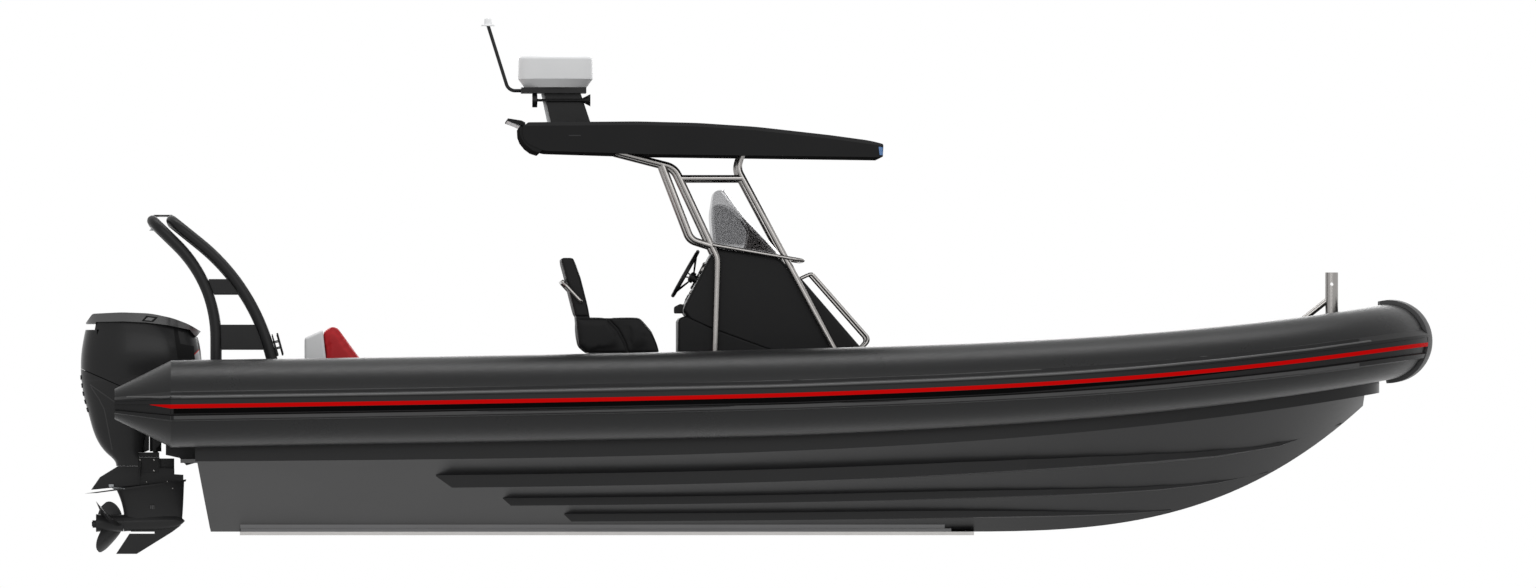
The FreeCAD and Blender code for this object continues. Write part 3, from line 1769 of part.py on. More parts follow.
os.makedirs("parts", exist_ok=True)
for thing in nodes:
    thing.Shape.exportStep(f"parts/{thing.Label}.step")
    print(f"{thing.Label}: {len(thing.Shape.Solids)} solid, {thing.Shape.Volume / 1e9:.5f} m3")
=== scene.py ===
import math

import bmesh
import bpy
import numpy as np
from mathutils.bvhtree import BVHTree
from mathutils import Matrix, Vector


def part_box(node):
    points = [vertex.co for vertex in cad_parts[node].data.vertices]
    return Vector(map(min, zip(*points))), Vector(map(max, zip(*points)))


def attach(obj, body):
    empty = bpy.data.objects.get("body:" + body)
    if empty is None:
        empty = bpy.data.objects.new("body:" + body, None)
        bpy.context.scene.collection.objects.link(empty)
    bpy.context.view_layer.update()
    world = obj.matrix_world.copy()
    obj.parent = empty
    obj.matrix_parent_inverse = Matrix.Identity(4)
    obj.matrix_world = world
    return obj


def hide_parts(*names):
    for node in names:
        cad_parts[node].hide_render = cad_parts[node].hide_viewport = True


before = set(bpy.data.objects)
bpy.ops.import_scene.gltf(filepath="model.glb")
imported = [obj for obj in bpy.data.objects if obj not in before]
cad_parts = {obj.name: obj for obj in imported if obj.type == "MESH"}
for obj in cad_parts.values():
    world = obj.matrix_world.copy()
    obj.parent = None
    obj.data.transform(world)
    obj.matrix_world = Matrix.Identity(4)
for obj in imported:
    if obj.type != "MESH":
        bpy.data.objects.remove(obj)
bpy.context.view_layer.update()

# Places are in metres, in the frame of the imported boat: x forward, y to port, z up from the
# waterline. Colours are linear red, green and blue.
PHOTO_WIDTH = 1536
METRES_PER_PIXEL = 0.0068
SENSOR = 36.0
INWARD, FORWARD, UP = (0, 1, 0), (1, 0, 0), (0, 0, 1)
# The y of a plane beside the boat, to starboard and clear of it, from which rays go inwards
BESIDE = -2.0


# Meshes

def grid_cells(rows, columns, round_columns=True):
    """Cell (i, j) of a grid joins points (i, j), (i, j+1), (i+1, j+1), (i+1, j); round columns join
    the last one to the first."""
    last = columns if round_columns else columns - 1
    i, j = np.meshgrid(np.arange(rows - 1), np.arange(last), indexing="ij")
    row, below, right = i * columns, (i + 1) * columns, (j + 1) % columns
    return np.stack([row + j, row + right, below + right, below + j], -1).reshape(-1, 4)


def closed_skin(grid):
    """A closed solid from a grid (rows, columns, 3) whose columns run round a closed section, with
    its first and last sections filled."""
    rows, columns = grid.shape[:2]
    faces = grid_cells(rows, columns).tolist()
    faces.append(list(range(columns))[::-1])
    faces.append(list(range((rows - 1) * columns, rows * columns)))
    return grid.reshape(-1, 3), faces


def joined(parts):
    """Several (points, faces) put into one, each part's faces counted on from the points before."""
    points, faces, count = [], [], 0
    for part_points, part_faces in parts:
        points.append(part_points)
        faces += [[count + k for k in face] for face in part_faces]
        count += len(part_points)
    return np.concatenate(points), faces


def mirrored(part):
    """The same part with y turned to -y and each face turned round, for the other side."""
    points, faces = part
    return points * (1, -1, 1), [face[::-1] for face in faces]


def both_sides(part):
    """The part and its mirror image."""
    return [part, mirrored(part)]


def new_object(name, data):
    """A new object with this data, put into the scene."""
    thing = bpy.data.objects.new(name, data)
    bpy.context.scene.collection.objects.link(thing)
    return thing


def make_piece(name, parts, material, body, bevel=0.0, sharp=40.0):
    """One named object at the origin from closed parts: normals are turned outwards, edges flatter
    than the sharp angle are shaded smooth, and a bevel of this width eases the others."""
    points, faces = joined(parts)
    mesh = bpy.data.meshes.new(name)
    mesh.from_pydata(points.tolist(), [], faces)
    solid = bmesh.new()
    solid.from_mesh(mesh)
    bmesh.ops.remove_doubles(solid, verts=solid.verts, dist=1e-6)
    bmesh.ops.recalc_face_normals(solid, faces=solid.faces)
    solid.to_mesh(mesh)
    solid.free()
    mesh.materials.append(material)
    mesh.shade_smooth()
    mesh.set_sharp_from_angle(angle=math.radians(sharp))
    piece = new_object(name, mesh)
    if bevel:
        soften = piece.modifiers.new("eased edges", "BEVEL")
        soften.width, soften.segments, soften.limit_method = bevel, 2, "ANGLE"
        soften.angle_limit = math.radians(35)
    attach(piece, body)
    return piece


def unit(vectors):
    """Vectors divided by their own lengths."""
    vectors = np.asarray(vectors, float)
    return vectors / np.maximum(np.linalg.norm(vectors, axis=-1, keepdims=True), 1e-9)


def directions(path):
    """At each station of a path, the direction from the station before to the one after."""
    path = np.asarray(path, float)
    ahead = np.vstack([path[1:], 2 * path[-1:] - path[-2:-1]])
    behind = np.vstack([2 * path[:1] - path[1:2], path[:-1]])
    return unit(ahead - behind)


def round_box_section(width, height, corner, steps=4):
    """A rectangle about the origin with round corners: quarter circles about the four corner centres."""
    turn = np.linspace(0, np.pi / 2, steps + 1)
    corners = []
    for quarter, (sx, sy) in enumerate([(1, 1), (-1, 1), (-1, -1), (1, -1)]):
        angle = turn + quarter * np.pi / 2
        centre = np.array([sx * (width / 2 - corner), sy * (height / 2 - corner)])
        corners.append(centre + corner * np.stack([np.cos(angle), np.sin(angle)], 1))
    return np.concatenate(corners)


def tube(path, radius, up=UP, steps=14):
    """A round bar along a path. At each station its circle lies in the plane of two directions: the
    path's direction crossed with up, and that one crossed with the path's direction."""
    path = np.asarray(path, float)
    ahead = directions(path)
    side = unit(np.cross(ahead, np.broadcast_to(up, ahead.shape)))
    top = np.cross(side, ahead)
    turn = np.linspace(0, 2 * np.pi, steps, endpoint=False)[:, None]
    return closed_skin(
        path[:, None] + side[:, None] * (radius * np.cos(turn)) + top[:, None] * (radius * np.sin(turn))
    )


def turned(profile, base, axis, steps=32):
    """A profile of (radius, distance along the axis) turned about the axis through the base: point
    = base + along * axis + radius * (cos, sin) of two directions square to the axis."""
    profile = np.asarray(profile, float)
    axis = unit(axis)
    first = unit(np.cross(axis, UP if abs(axis[2]) < 0.9 else FORWARD))
    second = np.cross(axis, first)
    turn = np.linspace(0, 2 * np.pi, steps, endpoint=False)
    spoke = np.cos(turn)[:, None] * first + np.sin(turn)[:, None] * second
    return closed_skin(np.asarray(base, float) + profile[:, None, 1:] * axis + profile[:, None, :1] * spoke)


def plate(outline, plane, low, high):
    """A flat outline drawn in a plane, xz or xy, and given a thickness from low to high along the
    third axis."""
    outline = np.asarray(outline, float)
    first, second, third = {"xz": (0, 2, 1), "xy": (0, 1, 2)}[plane]
    grid = np.empty((2, len(outline), 3))
    grid[:, :, first] = outline[:, 0]
    grid[:, :, second] = outline[:, 1]
    grid[:, :, third] = np.array([low, high])[:, None]
    return closed_skin(grid)


def block(low, high, corner=0.0):
    """A box between two corners, whose outline from above has round corners."""
    low, high = np.asarray(low, float), np.asarray(high, float)
    size, middle = (high - low)[:2], (low + high)[:2] / 2
    if corner:
        outline = round_box_section(*size, corner)
    else:
        outline = np.array([(1, 1), (-1, 1), (-1, -1), (1, -1)]) * size / 2
    return plate(outline + middle, "xy", low[2], high[2])


def fastener(base, axis, radius, height, steps=12):
    """A low domed screw head: a quarter ellipse turned about its axis."""
    turn = np.linspace(0, np.pi / 2, 5)
    profile = np.stack([radius * np.cos(turn), height * np.sin(turn)], 1)
    profile[-1, 0] = radius * 0.05
    return turned(np.vstack([[radius, -height * 0.5], profile]), base, axis, steps)


# Materials

def node_group(name, inputs, outputs):
    """An empty shader node group with named sockets, and its inner input and output nodes."""
    group = bpy.data.node_groups.new(name, "ShaderNodeTree")
    kinds = {"vector": "NodeSocketVector", "colour": "NodeSocketColor", "value": "NodeSocketFloat"}
    for label, kind, start in inputs:
        socket = group.interface.new_socket(name=label, in_out="INPUT", socket_type=kinds[kind])
        if start is not None:
            socket.default_value = start
    for label, kind in outputs:
        group.interface.new_socket(name=label, in_out="OUTPUT", socket_type=kinds[kind])
    return group, group.nodes.new("NodeGroupInput"), group.nodes.new("NodeGroupOutput")


def feed(tree, socket, value):
    """An input takes a plain number, or a link from an output."""
    if isinstance(value, (int, float)):
        socket.default_value = value
    else:
        tree.links.new(value, socket)


def set_inputs(node, values):
    """A node's named inputs take plain values."""
    for label, value in values.items():
        node.inputs[label].default_value = value


def math_node(tree, operation, first, second=None):
    """A Math node whose inputs are sockets or plain numbers."""
    node = tree.nodes.new("ShaderNodeMath")
    node.operation = operation
    feed(tree, node.inputs[0], first)
    if second is not None:
        feed(tree, node.inputs[1], second)
    return node.outputs[0]


def noise(tree, position, scale, detail):
    """A noise texture's value at a position."""
    node = tree.nodes.new("ShaderNodeTexNoise")
    set_inputs(node, {"Detail": detail, "Roughness": 0.55})
    tree.links.new(position, node.inputs["Vector"])
    feed(tree, node.inputs["Scale"], scale)
    return node.outputs["Fac"]


def weathering_group():
    """Broad patches and fine specks: the colour is scaled by 1 + amount * (noise - 0.5), and the
    same noise moves the roughness about its middle."""
    group, start, end = node_group(
        "weathering",
        [
            ("Position", "vector", None), ("Colour", "colour", (0.5, 0.5, 0.5, 1)),
            ("Patch Scale", "value", 3.0), ("Amount", "value", 0.2), ("Roughness", "value", 0.5),
            ("Roughness Change", "value", 0.1),
        ],
        [("Colour", "colour"), ("Roughness", "value"), ("Height", "value")],
    )
    position = start.outputs["Position"]
    broad = noise(group, position, start.outputs["Patch Scale"], 4.0)
    fine = noise(group, position, 160.0, 2.0)
    patches = math_node(group, "MULTIPLY", broad, 0.75)
    specks = math_node(group, "MULTIPLY", fine, 0.25)
    swing = math_node(group, "SUBTRACT", math_node(group, "ADD", patches, specks), 0.5)
    gain = math_node(group, "ADD", math_node(group, "MULTIPLY", swing, start.outputs["Amount"]), 1.0)
    scaled = group.nodes.new("ShaderNodeVectorMath")
    scaled.operation = "SCALE"
    group.links.new(start.outputs["Colour"], scaled.inputs[0])
    group.links.new(gain, scaled.inputs["Scale"])
    group.links.new(scaled.outputs[0], end.inputs["Colour"])
    rough = math_node(group, "MULTIPLY", swing, start.outputs["Roughness Change"])
    group.links.new(math_node(group, "ADD", rough, start.outputs["Roughness"]), end.inputs["Roughness"])
    group.links.new(fine, end.inputs["Height"])
    return group


def weave_group():
    """Threads over and under: the product of two sine waves square to each other in each of the
    three planes, added up, at a given number of threads a metre."""
    group, start, end = node_group(
        "weave", [("Position", "vector", None), ("Threads", "value", 600.0)], [("Height", "value")]
    )
    split = group.nodes.new("ShaderNodeSeparateXYZ")
    group.links.new(start.outputs["Position"], split.inputs[0])
    waves = []
    for axis in "XYZ":
        phase = math_node(group, "MULTIPLY", split.outputs[axis], start.outputs["Threads"])
        waves.append(math_node(group, "SINE", math_node(group, "MULTIPLY", phase, math.tau)))
    pairs = [math_node(group, "MULTIPLY", waves[a], waves[b]) for a, b in ((0, 1), (1, 2), (0, 2))]
    total = math_node(group, "ADD", math_node(group, "ADD", pairs[0], pairs[1]), pairs[2])
    group.links.new(math_node(group, "MULTIPLY", total, 0.5), end.inputs["Height"])
    return group


def grain_group():
    """Leather grain: the distance to the nearest of a field of scattered cells, with fine noise."""
    group, start, end = node_group(
        "grain", [("Position", "vector", None), ("Cells", "value", 350.0)], [("Height", "value")]
    )
    cells = group.nodes.new("ShaderNodeTexVoronoi")
    group.links.new(start.outputs["Position"], cells.inputs["Vector"])
    group.links.new(start.outputs["Cells"], cells.inputs["Scale"])
    ripple = noise(group, start.outputs["Position"], start.outputs["Cells"], 2.0)
    lift = math_node(group, "MULTIPLY", ripple, 0.4)
    group.links.new(math_node(group, "ADD", cells.outputs["Distance"], lift), end.inputs["Height"])
    return group


def edge_group():
    """Worn edges: where the surface turns within the width, the softened normal leaves the true
    one, and one less their product, times the strength, is the share of wear."""
    group, start, end = node_group("worn edges", [("Strength", "value", 3.0)], [("Share", "value")])
    geometry = group.nodes.new("ShaderNodeNewGeometry")
    rounded = group.nodes.new("ShaderNodeBevel")
    rounded.samples = 4
    rounded.inputs["Radius"].default_value = 0.004
    product = group.nodes.new("ShaderNodeVectorMath")
    product.operation = "DOT_PRODUCT"
    group.links.new(geometry.outputs["Normal"], product.inputs[0])
    group.links.new(rounded.outputs["Normal"], product.inputs[1])
    turn = math_node(group, "SUBTRACT", 1.0, product.outputs["Value"])
    share = group.nodes.new("ShaderNodeClamp")
    group.links.new(math_node(group, "MULTIPLY", turn, start.outputs["Strength"]), share.inputs["Value"])
    group.links.new(share.outputs[0], end.inputs["Share"])
    return group


WEATHERING, WEAVE, GRAIN, EDGES = weathering_group(), weave_group(), grain_group(), edge_group()


def placed(tree, group, values, links):
    """A node group put into a tree with its own values and links."""
    node = tree.nodes.new("ShaderNodeGroup")
    node.node_tree = group
    set_inputs(node, values)
    for label, source in links.items():
        tree.links.new(source, node.inputs[label])
    return node


def new_material(name):
    """A material, its node tree and its shader."""
    material = bpy.data.materials.new(name)
    material.use_nodes = True
    return material, material.node_tree, material.node_tree.nodes["Principled BSDF"]


def weathered(tree, shader, colour, roughness, patch, amount, change):
    """The shader's colour and roughness vary over the object. Gives the object's coordinates and
    the weathering node."""
    where = tree.nodes.new("ShaderNodeTexCoord").outputs["Object"]
    values = {
        "Colour": (*colour, 1), "Patch Scale": patch, "Amount": amount, "Roughness": roughness,
        "Roughness Change": change,
    }
    weather = placed(tree, WEATHERING, values, {"Position": where})
    tree.links.new(weather.outputs["Colour"], shader.inputs["Base Color"])
    tree.links.new(weather.outputs["Roughness"], shader.inputs["Roughness"])
    return where, weather


def surface(
    name, colour, roughness, metallic=0.0, specular=0.5, coat=0.0, coat_roughness=0.1, sheen=0.0, patch=3.0,
    amount=0.25, rough_change=0.15, pattern=None, pitch=600.0, lift=0.0003, worn=None, worn_strength=3.0,
):
    """A material for one finish: weathered colour and roughness, a weave or a grain as bump with so
    many threads or cells a metre (its pitch), and a worn colour along the edges."""
    material, tree, shader = new_material(name)
    where, weather = weathered(tree, shader, colour, roughness, patch, amount, rough_change)
    if worn:
        edges = placed(tree, EDGES, {"Strength": worn_strength}, {})
        mix = tree.nodes.new("ShaderNodeMix")
        mix.data_type = "RGBA"
        tree.links.new(edges.outputs["Share"], mix.inputs["Factor"])
        tree.links.new(weather.outputs["Colour"], mix.inputs["A"])
        mix.inputs["B"].default_value = (*worn, 1)
        tree.links.new(mix.outputs["Result"], shader.inputs["Base Color"])
    height = weather.outputs["Height"]
    if pattern:
        group, count = {"weave": (WEAVE, "Threads"), "grain": (GRAIN, "Cells")}[pattern]
        height = placed(tree, group, {count: pitch}, {"Position": where}).outputs["Height"]
    bump = tree.nodes.new("ShaderNodeBump")
    set_inputs(bump, {"Distance": lift, "Strength": 0.6})
    tree.links.new(height, bump.inputs["Height"])
    tree.links.new(bump.outputs["Normal"], shader.inputs["Normal"])
    set_inputs(shader, {
        "Metallic": metallic, "Specular IOR Level": specular, "Coat Weight": coat,
        "Coat Roughness": coat_roughness, "Sheen Weight": sheen, "Sheen Roughness": 0.4,
    })
    return material


def deck_surface():
    """Non-slip deck: a lattice of small raised diamonds, the product of two slanting waves."""
    material = surface("non-slip deck", (0.26, 0.262, 0.265), 0.62, specular=0.35, amount=0.35, patch=2.0)
    tree = material.node_tree
    where = tree.nodes.new("ShaderNodeTexCoord").outputs["Object"]
    split = tree.nodes.new("ShaderNodeSeparateXYZ")
    tree.links.new(where, split.inputs[0])
    pitch = 90.0
    plus = math_node(tree, "ADD", split.outputs["X"], split.outputs["Y"])
    minus = math_node(tree, "SUBTRACT", split.outputs["X"], split.outputs["Y"])
    waves = [math_node(tree, "SINE", math_node(tree, "MULTIPLY", v, pitch * math.tau)) for v in (plus, minus)]
    lattice = math_node(tree, "MAXIMUM", math_node(tree, "MULTIPLY", waves[0], waves[1]), 0.0)
    bump = next(n for n in tree.nodes if n.bl_idname == "ShaderNodeBump")
    bump.inputs["Distance"].default_value = 0.0012
    tree.links.new(lattice, bump.inputs["Height"])
    return material


def tinted_sheet(name, colour):
    """A clear tinted sheet with a fine ripple, whose colour is the share of light one sheet lets by."""
    material, tree, shader = new_material(name)
    weathered(tree, shader, colour, 0.05, 2.0, 0.1, 0.04)
    set_inputs(shader, {"Transmission Weight": 1.0, "IOR": 1.1})
    return material


COLLAR_FABRIC = surface(
    "collar fabric", (0.009, 0.0092, 0.0096), 0.29, specular=0.27, sheen=0.03, pattern="weave", pitch=420.0,
    lift=0.0002, amount=0.3, patch=1.6,
)
SEAM_TAPE = surface(
    "seam tape", (0.009, 0.0092, 0.0098), 0.42, specular=0.28, pattern="weave", pitch=420.0, lift=0.0002,
)
STRAKE_RUBBER = surface(
    "strake rubber", (0.007, 0.007, 0.0073), 0.4, specular=0.2, amount=0.3, patch=6.0, lift=0.0002,
)
RED_STRIPE = surface("red stripe", (0.6, 0.0, 0.0), 0.5, specular=0.04, amount=0.08, patch=5.0, lift=0.0001)
HULL_GELCOAT = surface(
    "hull gelcoat", (0.007, 0.007, 0.0074), 0.34, specular=0.22, coat=0.05, amount=0.3, patch=1.2,
    lift=0.0001, worn=(0.05, 0.05, 0.052), worn_strength=1.2,
)
DECK_GREY = deck_surface()
POLISHED_STEEL = surface(
    "polished steel", (0.315, 0.303, 0.293), 0.24, metallic=1.0, amount=0.12, patch=9.0, rough_change=0.16,
    lift=0.00006,
)
POWDER_COAT = surface(
    "powder coat", (0.008, 0.008, 0.0084), 0.42, specular=0.22, pattern="grain", pitch=700.0, lift=0.00012,
    worn=(0.045, 0.045, 0.047), worn_strength=1.0,
)
WHITE_GELCOAT = surface(
    "white gelcoat", (0.75, 0.755, 0.76), 0.4, specular=0.12, amount=0.06, patch=3.0, lift=0.00006,
)
CONSOLE_GELCOAT = surface(
    "console gelcoat", (0.006, 0.006, 0.0064), 0.45, specular=0.14, amount=0.3, patch=2.0, pattern="grain",
    pitch=500.0, lift=0.0001, worn=(0.04, 0.04, 0.042), worn_strength=1.4,
)
RED_VINYL = surface(
    "red vinyl", (0.46, 0.015, 0.02), 0.45, specular=0.2, pattern="grain", pitch=420.0, lift=0.0003,
    amount=0.25, patch=4.0,
)
BLACK_VINYL = surface(
    "black vinyl", (0.007, 0.007, 0.0074), 0.5, specular=0.16, pattern="grain", pitch=420.0, lift=0.0003,
    amount=0.3, patch=4.0,
)
SMOKED = tinted_sheet("smoked acrylic", (0.6, 0.6, 0.605))
TINT_FILM = tinted_sheet("tint film", (0.63, 0.63, 0.635))
DARK_FILM = tinted_sheet("dark film", (0.3, 0.29, 0.29))
ENGINE_PAINT = surface(
    "engine paint", (0.019, 0.019, 0.0194), 0.36, specular=0.13, coat=0.02, amount=0.25, patch=4.0,
    lift=0.0001, worn=(0.05, 0.05, 0.05), worn_strength=1.0,
)
ENGINE_GLOSS = surface(
    "engine gloss", (0.017, 0.017, 0.0174), 0.3, specular=0.16, coat=0.03, coat_roughness=0.06, amount=0.2,
    patch=2.5, lift=0.00005,
)
CAST_METAL = surface("cast metal", (0.45, 0.45, 0.46), 0.5, metallic=1.0, amount=0.2, patch=14.0, lift=0.0004)
DARK_PLASTIC = surface(
    "dark plastic", (0.008, 0.008, 0.0085), 0.5, specular=0.3, pattern="grain", pitch=900.0, lift=0.0001,
)
PALE_PLASTIC = surface("pale plastic", (0.72, 0.73, 0.74), 0.35, specular=0.4, amount=0.06, patch=8.0)
SILVER_PAINT = surface("silver paint", (0.42, 0.43, 0.44), 0.3, metallic=0.6, amount=0.1, patch=8.0)
BLUE_LENS = surface("blue lens", (0.03, 0.14, 0.36), 0.15, coat=0.4, amount=0.1, patch=20.0, lift=0.00005)
DISPLAY_GLASS = surface(
    "display glass", (0.006, 0.008, 0.011), 0.08, coat=0.6, coat_roughness=0.03, amount=0.2, patch=6.0,
    lift=0.00001,
)
ROOF_GELCOAT = surface(
    "roof gelcoat", (0.0235, 0.0235, 0.0239), 0.5, specular=0.0, amount=0.25, patch=1.5, lift=0.0001,
    worn=(0.06, 0.06, 0.062), worn_strength=1.0,
)
# The cap's grey is partly its own paint and partly painted light: lighter than the cowl for the light on its
# upturned top.
CAP_GLOSS_AND_PAINTED_LIGHT = surface(
    "cap gloss and painted light", (0.055, 0.055, 0.0555), 0.22, specular=0.6, coat=0.2, coat_roughness=0.05, amount=0.3,
    patch=6.0, lift=0.00004,
)
WEAR_RUBBER = surface(
    "wear rubber", (0.06, 0.06, 0.061), 0.5, specular=0.2, pattern="grain", pitch=260.0, lift=0.0003,
)
# Near black: the real dark seam of the cowl, and painted shade in a strip under the strake's red stripe.
SEAM_BLACK_AND_PAINTED_SHADE = surface(
    "seam black and painted shade", (0.0015, 0.0015, 0.0016), 0.8, specular=0.05, amount=0.3, patch=6.0,
)
BEAD_RUBBER = surface("bead rubber", (0.04, 0.04, 0.0404), 0.3, specular=0.7, amount=0.2, patch=6.0)
FOOT_RUBBER = surface("foot rubber", (0.06, 0.06, 0.0605), 0.5, specular=0.25, amount=0.25, patch=6.0)
FLAP_TAPE = surface(
    "flap tape", (0.012, 0.012, 0.0124), 0.6, specular=0.08, pattern="weave", pitch=420.0, lift=0.0002,
)
BEDDING = surface("keel bedding", (0.2, 0.2, 0.203), 0.6, specular=0.2, amount=0.3, patch=5.0, lift=0.0003)
# Painted light: a pale grey laid over the shade that falls beside the keel strip.
KEEL_PAINTED_LIGHT = surface("keel painted light", (0.22, 0.22, 0.223), 0.6, specular=0.0, amount=0.2, patch=3.0)
TRANSOM_GREY = surface("transom grey", (0.4, 0.4, 0.405), 0.6, specular=0.0, amount=0.15, patch=3.0)
# Painted highlight: a paler grey for the light caught along the creases of the lower cowl.
CREASE_PAINTED_HIGHLIGHT = surface("painted crease highlight", (0.045, 0.045, 0.0455), 0.35, specular=0.2, amount=0.3, patch=8.0)
FLANK_BLACK = surface("flank black", (0.015, 0.015, 0.0153), 0.6, specular=0.03, amount=0.15, patch=4.0)
LEG_PAINT = surface(
    "leg paint", (0.026, 0.026, 0.0265), 0.36, specular=0.13, coat=0.02, amount=0.3, patch=5.0,
)
# Painted sheen: a pale grey for the light caught in the mouth of the cap's air inlet.
INLET_PAINTED_SHEEN = surface("painted inlet sheen", (0.17, 0.17, 0.172), 0.3, specular=0.4, amount=0.2, patch=8.0)
KEEL_ALLOY = surface("keel alloy", (0.42, 0.41, 0.4), 0.35, metallic=1.0, amount=0.2, patch=12.0, lift=0.0002)
ZINC = surface("zinc anode", (0.34, 0.35, 0.36), 0.55, metallic=1.0, amount=0.4, patch=30.0, lift=0.0004)

SLOT_FINISHES = {
    "collar": COLLAR_FABRIC, "black_rubber": STRAKE_RUBBER, "red": RED_STRIPE, "hull": HULL_GELCOAT,
    "deck": DECK_GREY, "steel": POLISHED_STEEL, "black_paint": POWDER_COAT, "smoked": SMOKED,
    "white_moulding": WHITE_GELCOAT, "black_moulding": CONSOLE_GELCOAT, "red_cushion": RED_VINYL,
    "black_cushion": BLACK_VINYL, "engine_metal": ENGINE_PAINT, "engine_black": ENGINE_GLOSS,
    "cast_metal": CAST_METAL,
}
NODE_FINISHES = {
    "ttop_roof": ROOF_GELCOAT, "engine_cap": CAP_GLOSS_AND_PAINTED_LIGHT, "bow_patch": WEAR_RUBBER, "keel_strip": KEEL_ALLOY,
    "engine_lower_cowl": LEG_PAINT, "gearcase": LEG_PAINT,
}


def finish_cad_nodes():
    """Each CAD node takes the finish of its slot, or its own."""
    for name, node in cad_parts.items():
        for place, material in enumerate(node.data.materials):
            node.data.materials[place] = NODE_FINISHES.get(name, SLOT_FINISHES[material.name])


finish_cad_nodes()


# Cushions

CLOTH_FRAMES = 20
SEAM_HALF_WIDTH = 0.007
AFT_SEAMS, HELM_SEAMS = (-0.305, 0.0, 0.305), (0.0,)


def coordinates(mesh):
    """The places of a mesh's vertices, one row each."""
    places = np.empty(len(mesh.vertices) * 3)
    mesh.vertices.foreach_get("co", places)
    return places.reshape(-1, 3)


def merged_copy(node):
    """A copy of a CAD node's mesh with its loose triangles joined."""
    solid = bmesh.new()
    solid.from_mesh(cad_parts[node].data)
    bmesh.ops.remove_doubles(solid, verts=solid.verts, dist=1e-5)
    copy = bpy.data.meshes.new(node + " pad")
    solid.to_mesh(copy)
    solid.free()
    return copy


def sewn_cushion(name, node, material, seams, voxel=0.011, shrink=0.004, puff=0.006, pressure=4.0):
    """A cushion from its CAD solid: shrunk, remeshed, blown up under pressure between the seams
    that are sewn across it at these places of y, and capped in how far a point may move."""
    mesh = merged_copy(node)
    piece = new_object(name, mesh)
    low, high = (np.array(corner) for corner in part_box(node))
    middle, half = (low + high) / 2, (high - low) / 2
    points = (coordinates(mesh) - middle) * (1 - shrink / half) + middle
    mesh.vertices.foreach_set("co", points.ravel())
    remesh = piece.modifiers.new("even cloth", "REMESH")
    remesh.mode, remesh.voxel_size, remesh.use_smooth_shade = "VOXEL", voxel, True
    bpy.context.view_layer.objects.active = piece
    piece.select_set(True)
    bpy.ops.object.modifier_apply(modifier=remesh.name)
    start = coordinates(mesh)
    held = piece.vertex_groups.new(name="sewn")
    sewn = np.zeros(len(start), bool)
    for place in seams:
        sewn |= np.abs(start[:, 1] - place) < SEAM_HALF_WIDTH
    held.add(np.flatnonzero(sewn).tolist(), 1.0, "REPLACE")
    cloth = piece.modifiers.new("stuffing", "CLOTH")
    cloth.settings.use_pressure = True
    cloth.settings.uniform_pressure_force = pressure
    cloth.settings.vertex_group_mass = "sewn"
    cloth.settings.effector_weights.gravity = 0
    cloth.settings.quality = 4
    cloth.point_cache.frame_start, cloth.point_cache.frame_end = 1, CLOTH_FRAMES
    for step in range(1, CLOTH_FRAMES + 1):
        bpy.context.scene.frame_set(step)
    bpy.ops.object.modifier_apply(modifier=cloth.name)
    bpy.context.scene.frame_set(1)
    shift = coordinates(mesh) - start
    length = np.linalg.norm(shift, axis=1, keepdims=True)
    points = start + shift * np.minimum(1, puff / np.maximum(length, 1e-9))
    points = np.clip(points, low + 0.001, high + 0.008)
    mesh.vertices.foreach_set("co", points.ravel())
    piece.vertex_groups.clear()
    mesh.update()
    piece.select_set(False)
    mesh.materials.clear()
    mesh.materials.append(material)
    mesh.shade_smooth()
    smooth = piece.modifiers.new("smoothed", "SUBSURF")
    smooth.levels = smooth.render_levels = 1
    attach(piece, "boat")
    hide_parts(node)


def cushions():
    """Two red pads on the aft seat and three black ones on the helm seat."""
    sewn_cushion("aft_back_pad", "aft_seat_back", RED_VINYL, AFT_SEAMS)
    sewn_cushion("aft_seat_pad", "aft_seat_cushion", RED_VINYL, AFT_SEAMS)
    sewn_cushion("helm_back_pad", "helm_seat_back", BLACK_VINYL, HELM_SEAMS)
    sewn_cushion("helm_seat_pad", "helm_seat_cushion", BLACK_VINYL, HELM_SEAMS)
    sewn_cushion("helm_front_pad", "helm_seat_bolster", BLACK_VINYL, HELM_SEAMS)


def helm_seat_core():
    """The covered board inside the helm seat, which shows as one dark shape between the three pads."""
    outline = [
        (-1.396, 1.405), (-1.336, 1.399), (-1.282, 1.27), (-1.238, 1.102), (-1.217, 0.9955), (-0.896, 0.996),
        (-0.846, 0.951), (-0.798, 0.863), (-0.738, 0.735), (-1.2, 0.735), (-1.238, 0.776), (-1.292, 0.823),
        (-1.302, 0.906), (-1.312, 1.015), (-1.343, 1.156), (-1.378, 1.291),
    ]
    board = plate(outline, "xz", -0.44, 0.44)
    make_piece("helm_seat_core", [board], BLACK_VINYL, "boat", bevel=0.004)


cushions()
helm_seat_core()


# Things laid on the moulded surfaces

def ray_surface(*nodes):
    """The triangles of CAD nodes as one tree that rays are cast on."""
    points, faces, count = [], [], 0
    for name in nodes:
        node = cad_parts[name]
        turn = np.array(node.matrix_world)
        points.append(coordinates(node.data) @ turn[:3, :3].T + turn[:3, 3])
        faces += [[count + k for k in face.vertices] for face in node.data.polygons]
        count += len(node.data.vertices)
    return BVHTree.FromPolygons(np.concatenate(points).tolist(), faces)


def two_sheets(outer, inner, loop=False):
    """Two like grids joined along their rims into one closed skin. Looped columns have no side rims."""
    rows, columns = outer.shape[:2]
    count = rows * columns
    cells = grid_cells(rows, columns, loop)
    faces = cells.tolist() + (cells[:, ::-1] + count).tolist()
    index = np.arange(count).reshape(rows, columns)
    rims = [index[0], index[-1]]
    rims = [np.append(rim, rim[0]) for rim in rims] if loop else rims + [index[:, 0], index[:, -1]]
    for rim in rims:
        rim = rim.tolist()
        faces += [[a, b, b + count, a + count] for a, b in zip(rim, rim[1:])]
    return np.concatenate([outer.reshape(-1, 3), inner.reshape(-1, 3)]), faces


